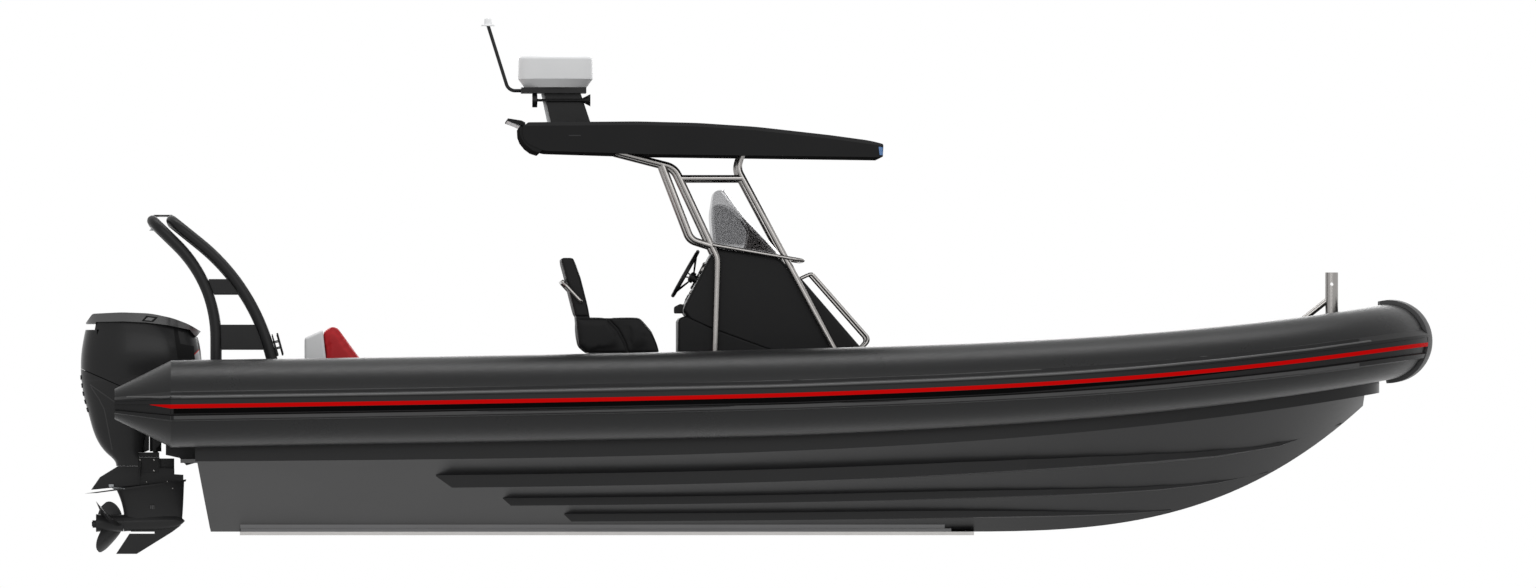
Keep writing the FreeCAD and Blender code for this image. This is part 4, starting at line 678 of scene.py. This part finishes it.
def touch(skin, spot, aim):
    """Where a ray from a spot meets a skin, and the skin's normal there, turned against the ray."""
    aim = Vector(aim)
    hit, normal = skin.ray_cast(Vector(spot), aim)[:2]
    if hit is None:
        hit, normal = skin.find_nearest(Vector(spot))[:2]
    return np.array(hit), np.array(normal if normal.dot(aim) < 0 else -normal)


def draped(skin, spots, aim, lift, sink=0.002, loop=False):
    """A thin sheet on a skin: every spot of a grid is moved along the aim onto the skin, and the
    sheet reaches from the sink below it to the lift above it along the skin's normal."""
    spots = np.asarray(spots, float)
    met = np.array([[touch(skin, spot, aim) for spot in row] for row in spots])
    hits, normals = met[:, :, 0], met[:, :, 1]
    return two_sheets(hits + normals * lift, hits - normals * sink, loop)


def quad(corners, rows, columns):
    """A grid of spots spread evenly between four corners given in turn."""
    a, b, c, d = np.asarray(corners, float)
    u = np.linspace(0, 1, columns)[None, :, None]
    v = np.linspace(0, 1, rows)[:, None, None]
    return (1 - v) * ((1 - u) * a + u * b) + v * ((1 - u) * d + u * c)


def side_quad(corners, rows, columns):
    """The same between four corners (x, z) in the plane beside the boat."""
    return quad([(x, BESIDE, z) for x, z in corners], rows, columns)


def rectangle(aft, fore, top, bottom):
    """The four corners (x, z) of an upright rectangle, given in turn."""
    return [(aft, top), (fore, top), (fore, bottom), (aft, bottom)]


def make_patches(name, skin, corners, rows, columns, lift, material, body, bevel=0.0):
    """A piece of one thin sheet laid on a skin from beside the boat, and its mirror image."""
    sheet = draped(skin, side_quad(corners, rows, columns), INWARD, lift)
    make_piece(name, both_sides(sheet), material, body, bevel)


def side_frame(outer, inner, steps=6):
    """A closed frame of spots between an outer and an inner outline of as many corners (x, z)."""
    rows = []
    for share in (0.0, 0.5, 1.0):
        corners = np.array(outer) * (1 - share) + np.array(inner) * share
        ahead = np.roll(corners, -1, 0)
        t = np.arange(steps)[:, None] / steps
        row = np.concatenate([a + (b - a) * t for a, b in zip(corners, ahead)])
        rows.append(np.stack([row[:, 0], np.full(len(row), BESIDE), row[:, 1]], 1))
    return np.array(rows)


bpy.context.view_layer.update()


# Engine

ENGINE_SKIN = ray_surface("engine_cowl", "engine_lower_cowl", "engine_cap")
LEG_SKIN = ray_surface("gearcase")


def cowl_trim():
    """Dark flank stripes, the frame of the air inlet in the cap and a painted sheen over its mouth, silver
    corner pieces with a red edge, and the louvres down the back of the lower cowl."""
    stripe = side_quad([(-4.042, 0.94), (-4.016, 0.935), (-3.981, 0.76), (-4.009, 0.707)], 14, 4)
    band = side_quad([(-3.992, 0.823), (-3.903, 0.806), (-3.899, 0.712), (-4.0, 0.712)], 8, 8)
    flanks = both_sides(draped(ENGINE_SKIN, stripe, INWARD, 0.0008))
    flanks += both_sides(draped(ENGINE_SKIN, band, INWARD, 0.0009))
    make_piece("engine_flank_stripes", flanks, FLANK_BLACK, "engine")
    mouth = [(-4.238, 0.983), (-4.214, 1.003), (-4.168, 0.997), (-4.19, 0.979)]
    inlet = side_frame([(-4.258, 0.976), (-4.224, 1.013), (-4.146, 1.003), (-4.178, 0.97)], mouth)
    rims = both_sides(draped(ENGINE_SKIN, inlet, INWARD, 0.002, loop=True))
    make_piece("cap_inlets", rims, FLANK_BLACK, "engine")
    # Painted sheen over the inlet's mouth.
    make_patches("cap_inlet_painted_sheen", ENGINE_SKIN, mouth, 4, 4, 0.0012, INLET_PAINTED_SHEEN, "engine")
    silver = [(-3.898, 0.748), (-3.868, 0.781), (-3.858, 0.712), (-3.893, 0.712)]
    make_patches(
        "engine_corner_silver", ENGINE_SKIN, silver, 6, 5, 0.001, SILVER_PAINT, "engine",
    )
    edge = [(-3.899, 0.753), (-3.868, 0.787), (-3.868, 0.781), (-3.898, 0.748)]
    make_patches("engine_corner_red", ENGINE_SKIN, edge, 3, 6, 0.0013, RED_STRIPE, "engine")
    louvres = []
    for z in np.arange(0.61, 0.34, -0.055):
        spots = quad([(-5, -0.07, z), (-5, 0.07, z), (-5, 0.062, z - 0.03), (-5, -0.062, z - 0.03)], 4, 9)
        louvres.append(draped(ENGINE_SKIN, spots, FORWARD, 0.006))
    make_piece("engine_louvres", louvres, DARK_PLASTIC, "engine", bevel=0.0015)


def cowl_seal():
    """The dark seal inside the line where the cowl parts from the lower cowl."""
    outline = [
        (-4.645, 0.662), (-4.393, 0.552), (-4.23, 0.565), (-3.9, 0.575), (-3.9, 0.53), (-4.23, 0.525),
        (-4.393, 0.512), (-4.63, 0.618),
    ]
    plug = [(-4.588, 0.9115), (-4.548, 0.921), (-4.53, 0.86), (-4.58, 0.845)]
    parts = [plate(outline, "xz", -0.045, 0.045), plate(plug, "xz", -0.11, 0.11)]
    make_piece("cowl_seal", parts, DARK_PLASTIC, "engine")


def flank_line(points, width, lift, sink=0.002):
    """A narrow strip of one width along points (x, z) of the engine's flank. Where a ray slips
    through the gap between two covers, its hit is off the ray or on the far side, and is left out:
    the strip runs straight on between its neighbours."""
    points = np.asarray(points, float)
    lengths = np.concatenate([[0], np.cumsum(np.linalg.norm(np.diff(points, axis=0), axis=1))])
    steps = np.linspace(0, lengths[-1], max(3, int(lengths[-1] / 0.012)))
    middle = np.stack([np.interp(steps, lengths, points[:, i]) for i in (0, 1)], 1)
    along = unit(np.gradient(middle, axis=0))
    across = np.stack([-along[:, 1], along[:, 0]], 1)
    hits, normals = [], []
    for offset in (width / 2, -width / 2):
        row = middle + across * offset
        met = np.array([touch(ENGINE_SKIN, (x, BESIDE, z), INWARD) for x, z in row])
        on_the_ray = np.abs(met[:, 0][:, [0, 2]] - row).max(1) < 0.0005
        good = on_the_ray & (met[:, 0, 1] < -0.06)
        depth = np.interp(steps, steps[good], met[good, 0, 1])
        hits.append(np.stack([row[:, 0], depth, row[:, 1]], 1))
        normals.append(np.stack([np.interp(steps, steps[good], met[good, 1, i]) for i in range(3)], 1))
    hits, normals = np.array(hits), unit(np.array(normals))
    return two_sheets(hits + normals * lift, hits - normals * sink)


def cowl_edges():
    """The dark line where the cowl parts from the lower cowl, and painted highlights along the creases of
    the lower cowl, which fall from that line towards the leg."""
    seam = flank_line([(-4.64, 0.641), (-4.393, 0.5325), (-4.23, 0.545), (-3.92, 0.5525)], 0.006, 0.0006)
    make_piece("cowl_seam", both_sides(seam), SEAM_BLACK_AND_PAINTED_SHADE, "engine")
    # Painted highlights along the creases of the lower cowl.
    crease_highlights = []
    for points in (
        [(-4.606, 0.545), (-4.51, 0.478), (-4.4, 0.4)],
        [(-4.6, 0.53), (-4.545, 0.448), (-4.509, 0.375), (-4.485, 0.253), (-4.457, 0.102)],
    ):
        crease_highlights += both_sides(flank_line(points, 0.007, 0.0008))
    make_piece("cowl_crease_highlights", crease_highlights, CREASE_PAINTED_HIGHLIGHT, "engine")


def leg_fittings():
    """The mount cover with its four bright bolts, the mount ahead of it, the trim tab, the bolts of
    the splash plates and the water intake."""
    cover = rectangle(-4.281, -4.142, 0.0455, -0.051)
    make_patches("mount_covers", LEG_SKIN, cover, 5, 7, 0.005, ENGINE_PAINT, "engine", 0.002)
    mount = block((-4.155, -0.055, -0.027), (-4.036, 0.055, 0.045), 0.012)
    make_piece("lower_mount", [mount], DARK_PLASTIC, "engine", bevel=0.003)
    bolts = []
    for x, z, radius, lift in (
        (-4.2686, 0.0367, 0.0075, 0.0045), (-4.1725, 0.036, 0.0075, 0.0045), (-4.267, -0.036, 0.0075, 0.0045),
        (-4.1725, -0.0374, 0.0075, 0.0045), (-4.2228, -0.1156, 0.005, 0.0), (-4.08, -0.1129, 0.006, 0.0),
        (-4.046, -0.1564, 0.005, 0.0),
    ):
        point, normal = touch(LEG_SKIN, (x, BESIDE, z), INWARD)
        bolts += both_sides(fastener(point + normal * lift, normal, radius, radius * 0.6))
    make_piece("leg_bolts", bolts, POLISHED_STEEL, "engine")
    tab = rectangle(-4.48, -4.447, -0.131, -0.166)
    make_patches("trim_anodes", LEG_SKIN, tab, 3, 3, 0.004, ZINC, "engine", 0.001)
    intake = [(-4.205, -0.268), (-4.172, -0.268), (-4.168, -0.304), (-4.201, -0.304)]
    make_patches(
        "water_intakes", LEG_SKIN, intake, 4, 4, 0.003, DARK_PLASTIC, "engine", 0.001,
    )
    slits = []
    for x in (-4.198, -4.187, -4.176):
        spots = side_quad([(x, -0.273), (x + 0.004, -0.273), (x + 0.005, -0.299), (x + 0.001, -0.299)], 4, 2)
        slits += both_sides(draped(LEG_SKIN, spots, INWARD, 0.0042))
    make_piece("intake_slits", slits, CAP_GLOSS_AND_PAINTED_LIGHT, "engine")


def cowl_apron():
    """The dark apron between the front of the lower cowl and the swivel tube."""
    outline = [(-4.29, 0.3), (-4.2065, 0.3), (-4.2065, 0.1), (-4.235, 0.088), (-4.29, 0.088)]
    apron = plate(outline, "xz", -0.028, 0.028)
    make_piece("cowl_apron", [apron], ENGINE_PAINT, "engine", bevel=0.004)


def propeller_cast():
    """Hub and three broad blades. At radius r a blade runs along a helix of 0.6 m pitch, so a point
    that lies u half widths from its middle is u * h further aft and u * h * 2 pi r / 0.6 further
    round; the half width h shrinks to nothing at the tip as the root of one less the share's cube,
    and the middle drifts aft with the share to the power of one and a half."""
    centre, hub, reach, pitch = np.array([0, 0, -0.3937]), 0.057, 0.2, 0.6
    share = np.linspace(0, 0.995, 16)[:, None]
    radius = hub - 0.012 + (reach - hub + 0.012) * share
    across = np.linspace(-1, 1, 13)[None, :]
    half = 0.07 * np.sqrt(1 - share**3)
    back = -4.46 - 0.08 * share**1.5 - across * half
    turn = across * half * 2 * np.pi / pitch
    depth = (0.0065 - 0.005 * share) * np.sqrt(1.02 - across**2)
    parts = []
    for start in (math.pi / 3, math.pi, 5 * math.pi / 3):
        angle = start - turn
        sheets = []
        for side in (depth / 2, -depth / 2):
            places = np.stack([back + side, -np.sin(angle) * radius, np.cos(angle) * radius], -1)
            sheets.append(places + centre)
        parts.append(two_sheets(*sheets))
    profile = [
        (0.03, -0.002), (0.0565, 0.0), (0.0575, 0.004), (0.0575, 0.15), (0.061, 0.183), (0.061, 0.186),
        (0.05, 0.186), (0.046, 0.16), (0.024, 0.158), (0.024, 0.176), (0.016, 0.18), (0.001, 0.181),
    ]
    parts.append(turned(profile, (-4.3815, 0, centre[2]), (-1, 0, 0), 48))
    piece = make_piece("propeller_cast", parts, LEG_PAINT, "screw", sharp=55)
    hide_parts("propeller")


cowl_trim()
cowl_seal()
cowl_edges()
leg_fittings()
cowl_apron()
propeller_cast()


# Arch

def mooring_cleats():
    """A cleat on the front of each leg of the arch: foot plate, two stems and a round bar."""
    y = -0.835
    bar = tube([(-3.337, y, 0.892), (-3.298, y, 0.749)], 0.006, up=(0, 1, 0))
    stems = [
        tube([(-3.372, y, 0.831), (-3.322, y, 0.8435)], 0.004, up=(0, 1, 0)),
        tube([(-3.36, y, 0.789), (-3.3105, y, 0.801)], 0.004, up=(0, 1, 0)),
    ]
    outline = [(-3.375, 0.884), (-3.3685, 0.886), (-3.3265, 0.746), (-3.34, 0.742)]
    foot = plate(outline, "xz", y - 0.014, y + 0.014)
    parts = []
    for part in [bar, foot, *stems]:
        parts += both_sides(part)
    make_piece("arch_cleats", parts, POWDER_COAT, "boat", bevel=0.001)


def stern_lamp():
    """The white lamp under the arch's top: a short barrel over a wider disc."""
    profile = [(0.0135, 0.0), (0.0135, -0.034), (0.021, -0.036), (0.0215, -0.0395), (0.019, -0.042)]
    lamp_part = turned(profile, (-4.184, 0, 1.634), UP, 28)
    make_piece("stern_lamp", [lamp_part], PALE_PLASTIC, "boat")


mooring_cleats()
stern_lamp()


# Roof, mast and aerials

ROOF_SKIN = ray_surface("ttop_roof")


def roof_marks():
    """A shallow mark on each side of the roof, a lens in each front corner, and the white lining
    under its raised aft lip."""
    mark = rectangle(-1.367, -1.285, 2.2315, 2.2245)
    make_patches("roof_marks", ROOF_SKIN, mark, 2, 4, 0.0008, SEAM_TAPE, "boat")
    lens = [(0.729, 2.153), (0.756, 2.149), (0.758, 2.096), (0.736, 2.096)]
    make_patches("roof_lenses", ROOF_SKIN, lens, 4, 4, 0.003, BLUE_LENS, "boat")
    lining = plate([(-1.779, 2.331), (-1.69, 2.291), (-1.687, 2.2985), (-1.772, 2.3365)], "xz", -0.55, 0.55)
    make_piece("lip_lining", [lining], WHITE_GELCOAT, "boat", bevel=0.001)


def roof_rim():
    """The dark rim that rounds off the roof's aft face under its lip."""
    outline = [
        (-1.699, 2.288), (-1.696, 2.235), (-1.681, 2.196), (-1.65, 2.157), (-1.611, 2.127), (-1.565, 2.1125),
        (-1.54, 2.135), (-1.6, 2.175), (-1.63, 2.215), (-1.64, 2.288),
    ]
    make_piece(
        "roof_rim", [plate(outline, "xz", -0.842, 0.842)], ROOF_GELCOAT, "boat",
        bevel=0.002,
    )


def mast_trim():
    """The white strip down the aft edge of the mast, its white foot plate and the foot's bolts."""
    strip = plate([(-1.546, 2.538), (-1.524, 2.538), (-1.474, 2.328), (-1.4985, 2.322)], "xz", -0.06, 0.06)
    foot = block((-1.5, -0.125, 2.3205), (-1.355, 0.125, 2.327), 0.01)
    make_piece("mast_trim", [strip, foot], WHITE_GELCOAT, "boat", bevel=0.0015)
    bolts = [fastener((x, y, 2.327), UP, 0.006, 0.004) for x in (-1.485, -1.37) for y in (-0.112, 0.112)]
    make_piece("mast_bolts", bolts, POLISHED_STEEL, "boat")


def antenna_cover():
    """The white disc and dome of the antenna, over the end of its dark pole."""
    profile = [
        (0.024, -0.0012), (0.0476, -0.0006), (0.0476, 0.0035), (0.0456, 0.0086), (0.0262, 0.0108),
        (0.0252, 0.045), (0.021, 0.0525), (0.0105, 0.0546), (0.0005, 0.0548),
    ]
    cover = turned(profile, (-1.904, 0, 2.985), UP, 40)
    make_piece("antenna_cover", [cover], WHITE_GELCOAT, "boat")


def radome_band():
    """The narrow joint between the radome's dish and its lid."""
    centre, radius = (-1.446, 0, 2.625), 0.2542
    profile = [(radius - 0.003, -0.0025), (radius, -0.002), (radius, 0.002), (radius - 0.003, 0.0025)]
    make_piece("radome_band", [turned(profile, centre, UP, 96)], PALE_PLASTIC, "boat")


roof_marks()
roof_rim()
mast_trim()
antenna_cover()
radome_band()


# Console and helm

CONSOLE_SKIN = ray_surface("console_upper", "console_lower")


def console_joint():
    """The dark joint between the two mouldings of the console, along both sides."""
    line = [(-0.564, 1.013), (-0.401, 0.938), (-0.351, 0.921), (0.054, 0.772)]
    parts = []
    for a, b in zip(line, line[1:]):
        corners = [(a[0], a[1] + 0.003), (b[0], b[1] + 0.003), (b[0], b[1] - 0.003), (a[0], a[1] - 0.003)]
        parts += both_sides(draped(CONSOLE_SKIN, side_quad(corners, 2, 8), INWARD, 0.0006))
    make_piece("console_joint", parts, DARK_PLASTIC, "boat")


def dash_fittings():
    """The chart display with its bezel, two gauges, a row of rocker switches and the key switch."""
    aft = -1

    def panel(y_low, y_high, z_low, z_high, lift, rows=3, columns=4):
        corners = [(aft, y_low, z_low), (aft, y_high, z_low), (aft, y_high, z_high), (aft, y_low, z_high)]
        return draped(CONSOLE_SKIN, quad(corners, rows, columns), FORWARD, lift)

    bezel, glass = panel(0.03, 0.36, 1.2, 1.375, 0.012), panel(0.05, 0.34, 1.217, 1.358, 0.0126)
    make_piece("display_bezel", [bezel], DARK_PLASTIC, "boat", bevel=0.003)
    make_piece("display_glass", [glass], DISPLAY_GLASS, "boat")
    ring = [(0.034, -0.002), (0.042, -0.002), (0.042, 0.005), (0.0395, 0.008), (0.036, 0.008), (0.034, 0.004)]
    rims, faces = [], []
    for y in (-0.31, 0.0):
        point, normal = touch(CONSOLE_SKIN, (aft, y, 1.33), FORWARD)
        rims.append(turned(ring, point, normal, 36))
        faces.append(turned([(0.0355, -0.001), (0.0355, 0.0045), (0.001, 0.0045)], point, normal, 36))
    make_piece("gauge_rims", rims, POLISHED_STEEL, "boat")
    make_piece("gauge_faces", faces, DISPLAY_GLASS, "boat")
    switches = [panel(y, y + 0.024, 1.12, 1.158, 0.006, 2, 2) for y in np.arange(0.05, 0.33, 0.036)]
    bed = panel(0.035, 0.345, 1.108, 1.17, 0.0025)
    make_piece("rocker_switches", [bed], DARK_PLASTIC, "boat", bevel=0.0015)
    make_piece("rocker_tops", switches, CONSOLE_GELCOAT, "boat", bevel=0.002)
    point, normal = touch(CONSOLE_SKIN, (aft, -0.36, 1.17), FORWARD)
    barrel = [(0.014, -0.001), (0.014, 0.006), (0.009, 0.008), (0.009, 0.012), (0.001, 0.0125)]
    make_piece("key_switch", [turned(barrel, point, normal, 24)], POLISHED_STEEL, "boat")


def wheel_hub():
    """The domed cap in the middle of the steering wheel."""
    axis = unit(np.array([-0.869, 0, 0.493]))
    centre = np.array([-0.565, -0.15, 1.3])
    point = touch(ray_surface("steering_wheel"), centre + axis * 0.4, -axis)[0]
    turn = np.linspace(0, np.pi / 2, 6)
    profile = np.stack([0.034 * np.cos(turn) + 0.0005, 0.012 * np.sin(turn)], 1)
    cap = turned(np.vstack([[0.034, -0.006], profile]), point, axis, 36)
    make_piece("wheel_cap", [cap], DARK_PLASTIC, "wheel")


SCREEN_SKIN = ray_surface("windscreen")


def screen_tints():
    """The tinted films on the sides of the windscreen: one over its middle, one over its front."""
    middle = [
        (-0.3706, 1.7605), (-0.34, 1.7694), (-0.3026, 1.7646), (-0.2659, 1.7483), (-0.2326, 1.7279),
        (-0.1918, 1.6864), (-0.1584, 1.6415), (-0.1421, 1.5878), (-0.1462, 1.5422), (-0.1666, 1.4926),
        (-0.3604, 1.5055), (-0.3726, 1.6497),
    ]
    front = [
        (-0.1878, 1.6824), (-0.168, 1.668), (-0.05, 1.545), (0.05, 1.442), (-0.06, 1.456), (-0.16, 1.472),
        (-0.1422, 1.5422), (-0.1381, 1.5878), (-0.1544, 1.6415),
    ]
    for name, outline, film in (("screen_middle", middle, TINT_FILM), ("screen_front", front, DARK_FILM)):
        centre = np.mean(outline, 0)
        inner = centre + (np.array(outline) - centre) * 0.01
        sheet = draped(SCREEN_SKIN, side_frame(outline, inner, 4), INWARD, 0.0012, sink=-0.0004, loop=True)
        make_piece(name, both_sides(sheet), film, "boat")


screen_tints()
console_joint()
dash_fittings()
wheel_hub()


# Collar, keel and transom

STRAKE_SKIN = ray_surface("rub_strake", "collar_starboard", "collar_bow", "stern_cones")
HULL_SKIN = ray_surface("hull")
STRAKE_START = -4.055
# The lower edge of the red stripe (x, z), seen from the side
STRIPE_EDGE = np.array([
    (-4.06, 0.3795), (-3.35, 0.3907), (-2.33, 0.4073), (-0.09, 0.4529), (0.155, 0.4594), (1.1345, 0.497),
    (1.423, 0.5111), (1.668, 0.5245), (1.915, 0.5387), (2.167, 0.5558), (2.395, 0.5719), (2.655, 0.5937),
    (2.93, 0.6207), (3.13, 0.6401), (3.39, 0.6686), (3.65, 0.6972), (3.9, 0.7294), (4.15, 0.7621),
])


def strake_strip(low, high, start, end, lift, taper=None):
    """A strip along the strake between two heights above the stripe's lower edge. With a taper it
    narrows evenly towards its upper edge from that station to its end."""
    stations = np.arange(start, end, 0.06)
    edge = np.interp(stations, *STRIPE_EDGE.T)
    share = np.ones(len(stations)) if taper is None else np.clip((end - stations) / (end - taper), 0.02, 1)
    rows = []
    for step in np.linspace(0, 1, 4):
        height = edge + high - (high - low) * step * share
        rows.append(np.stack([stations, np.full(len(stations), BESIDE), height], 1))
    return draped(STRAKE_SKIN, rows, INWARD, lift, sink=0.001)


def strake_lines():
    """The flap, the bead, a strip of painted shade under the red stripe, and the foot of the rubbing strake.
    """
    flap = strake_strip(0.091, 0.1155, STRAKE_START, 4.0, 0.0009)
    make_piece("strake_flaps", both_sides(flap), FLAP_TAPE, "boat")
    # Painted shade: a near black strip just under the red stripe.
    shade_strip = strake_strip(-0.035, -0.0025, STRAKE_START, 3.5, 0.0007, taper=1.6)
    make_piece("strake_painted_shade", both_sides(shade_strip), SEAM_BLACK_AND_PAINTED_SHADE, "boat")
    foot = strake_strip(-0.084, -0.05, STRAKE_START, 4.0, 0.0007)
    make_piece("strake_feet", both_sides(foot), FOOT_RUBBER, "boat")
    stations = np.arange(-3.985, 4.1, 0.05)
    edge = np.interp(stations, *STRIPE_EDGE.T) + np.interp(stations, [2.0, 4.15], [0.075, 0.09])
    runs = [np.stack([stations, edge], 1), np.stack([np.linspace(-4.35, -3.985, 9), np.full(9, 0.458)], 1)]
    beads = []
    for run in runs:
        met = [touch(STRAKE_SKIN, (x, BESIDE, z), INWARD) for x, z in run]
        path = [point - normal * 0.003 for point, normal in met]
        beads += both_sides(tube(path, 0.008, steps=12))
    make_piece("strake_beads", beads, BEAD_RUBBER, "boat")


def keel_bedding():
    """The bedding that fills the hollow between the V of the hull and the flat keel strip, and pale
    strips along both sides of it: painted light over the shade beside the keel strip."""
    bedding = block((-3.585, -0.0435, -0.4535), (1.245, 0.0435, -0.431))
    make_piece("keel_bedding", [bedding], BEDDING, "boat")
    # Painted light: pale strips over the shade beside the keel strip.
    painted_light_band = rectangle(-3.587, 1.2, -0.404, -0.4315)
    make_patches("keel_painted_light", HULL_SKIN, painted_light_band, 4, 60, 0.0008, KEEL_PAINTED_LIGHT, "boat")


def transom_face():
    """The pale aft face of the hull under the pod. Its half width follows the V: the height above
    the keel over the rise of the V, up to the chine."""
    rows = []
    for z in np.linspace(-0.012, -0.432, 22):
        half = min(0.545, (z + 0.453) / 0.458 - 0.006)
        rows.append([(-6.0, y, z) for y in np.linspace(-half, half, 15)])
    make_piece("transom_face", [draped(HULL_SKIN, rows, FORWARD, 0.0012)], TRANSOM_GREY, "boat")


strake_lines()
keel_bedding()
transom_face()


# Feet of the frames

def foot_flanges():
    """A round flange with a weld collar and four screws round the foot of each tube."""
    flanges, screws = [], []
    for x, y, z, bar, reach in (
        (-0.389, 0.5, 0.11, 0.0205, 0.045), (0.798, 0.5, 0.11, 0.023, 0.047),
        (-1.228, 0.34, 0.11, 0.022, 0.045), (-0.791, 0.34, 0.11, 0.022, 0.045),
    ):
        profile = [
            (bar - 0.002, 0.0), (reach, 0.0), (reach, 0.004), (reach - 0.002, 0.006), (bar + 0.004, 0.006),
            (bar, 0.012), (bar - 0.002, 0.012),
        ]
        flanges += both_sides(turned(profile, (x, y, z), UP, 32))
        middle = (bar + reach) / 2 + 0.001
        for k in range(4):
            angle = math.pi / 4 + k * math.pi / 2
            spot = (x + middle * math.cos(angle), y + middle * math.sin(angle), z + 0.006)
            screws += both_sides(fastener(spot, UP, 0.0045, 0.003))
    make_piece("foot_flanges", flanges, POLISHED_STEEL, "boat")
    make_piece("flange_screws", screws, POLISHED_STEEL, "boat")
    arch_feet = []
    for x, z in ((-3.752, 0.15), (-3.207, 0.11)):
        profile = [
            (0.034, 0.0), (0.05, 0.0), (0.05, 0.005), (0.047, 0.008), (0.041, 0.008), (0.036, 0.016),
            (0.034, 0.016),
        ]
        arch_feet += both_sides(turned(profile, (x, 0.835, z), UP, 36))
    make_piece("arch_feet", arch_feet, POWDER_COAT, "boat")


foot_flanges()


# Light, floor and camera

def face(thing, place, target):
    """A lamp or a camera at a place is turned towards the target."""
    aim = np.array(target, float) - np.array(place, float)
    thing.rotation_euler = Vector(aim).to_track_quat("-Z", "Y").to_euler()


def lamp(name, place, target, size, radiance):
    """A rectangular soft lamp at a place, facing the target, whose power is its radiance times its
    area times pi."""
    data = bpy.data.lights.new(name, "AREA")
    data.shape = "RECTANGLE"
    data.size, data.size_y = size
    data.energy = radiance * size[0] * size[1] * math.pi
    thing = new_object(name, data)
    thing.location = place
    face(thing, place, target)


def studio_lights():
    """A long narrow overhead light, a weak fill from the camera's side and one from the other."""
    lamp("overhead", (0, -0.7, 8.5), (0, -0.7, 0), (13, 2.2), 5.0)
    lamp("side fill", (0, -16, 5), (0, 0, 0.8), (14, 5), 2.35)
    lamp("far fill", (0, 16, 5), (0, 0, 0.8), (14, 5), 2.2)


def mix_into(tree, share, first, second, end):
    """The first shader goes over into the second by the share, and the mix into an output."""
    mix = tree.nodes.new("ShaderNodeMixShader")
    for source, socket in zip((share, first, second), mix.inputs):
        tree.links.new(source, socket)
    tree.links.new(mix.outputs[0], end.inputs[0])


def studio_world():
    """Plain grey light on every surface, and white behind the object, in reflections and through
    glass."""
    world = bpy.data.worlds.new("studio")
    world.use_nodes = True
    tree = world.node_tree
    plain = tree.nodes["Background"]
    plain.inputs["Color"].default_value = (0.6, 0.6, 0.6, 1)
    white = tree.nodes.new("ShaderNodeBackground")
    white.inputs["Color"].default_value = (1, 1, 1, 1)
    seen = seen_by(tree, "Is Camera Ray", "Is Glossy Ray", "Is Transmission Ray")
    mix_into(tree, seen, plain.outputs[0], white.outputs[0], tree.nodes["World Output"])
    bpy.context.scene.world = world


def seen_by(tree, *kinds):
    """One for the named kinds of rays, and nought for the rest."""
    path = tree.nodes.new("ShaderNodeLightPath")
    seen = path.outputs[kinds[0]]
    for kind in kinds[1:]:
        seen = math_node(tree, "MAXIMUM", seen, path.outputs[kind])
    return seen


def floor():
    """A plain pale floor at the waterline, which a hull afloat crosses. It takes the boat's shadow
    and, as water does, lets light pass to the hull below and reflections go on to the white beyond."""
    reach = 40.0
    mesh = bpy.data.meshes.new("floor")
    corners = [(-reach, -reach, 0), (reach, -reach, 0), (reach, reach, 0), (-reach, reach, 0)]
    mesh.from_pydata(corners, [], [(0, 1, 2, 3)])
    material, tree, shader = new_material("pale floor")
    set_inputs(shader, {"Base Color": (0.86, 0.86, 0.86, 1), "Roughness": 0.9})
    clear = tree.nodes.new("ShaderNodeBsdfTransparent")
    seen = seen_by(tree, "Is Camera Ray", "Is Transmission Ray")
    mix_into(tree, seen, clear.outputs[0], shader.outputs[0], tree.nodes["Material Output"])
    mesh.materials.append(material)
    new_object("floor", mesh)


def photo_camera():
    """A distant camera on the starboard side, at floor level, just aft of square to the boat, whose
    frame is as wide as the photograph at its scale."""
    distance, turn = 150.0, math.radians(-1.3)
    frame_width = PHOTO_WIDTH * METRES_PER_PIXEL
    data = bpy.data.cameras.new("camera")
    data.sensor_width = SENSOR
    data.lens = SENSOR * distance / frame_width
    data.clip_end = 400
    camera = new_object("camera", data)
    camera.location = (distance * math.sin(turn), -distance * math.cos(turn), 0.0)
    face(camera, camera.location, (0.0, 0.0, 1.163))
    bpy.context.scene.camera = camera


studio_lights()
studio_world()
floor()
photo_camera()
bpy.context.scene.view_settings.view_transform = "Standard"
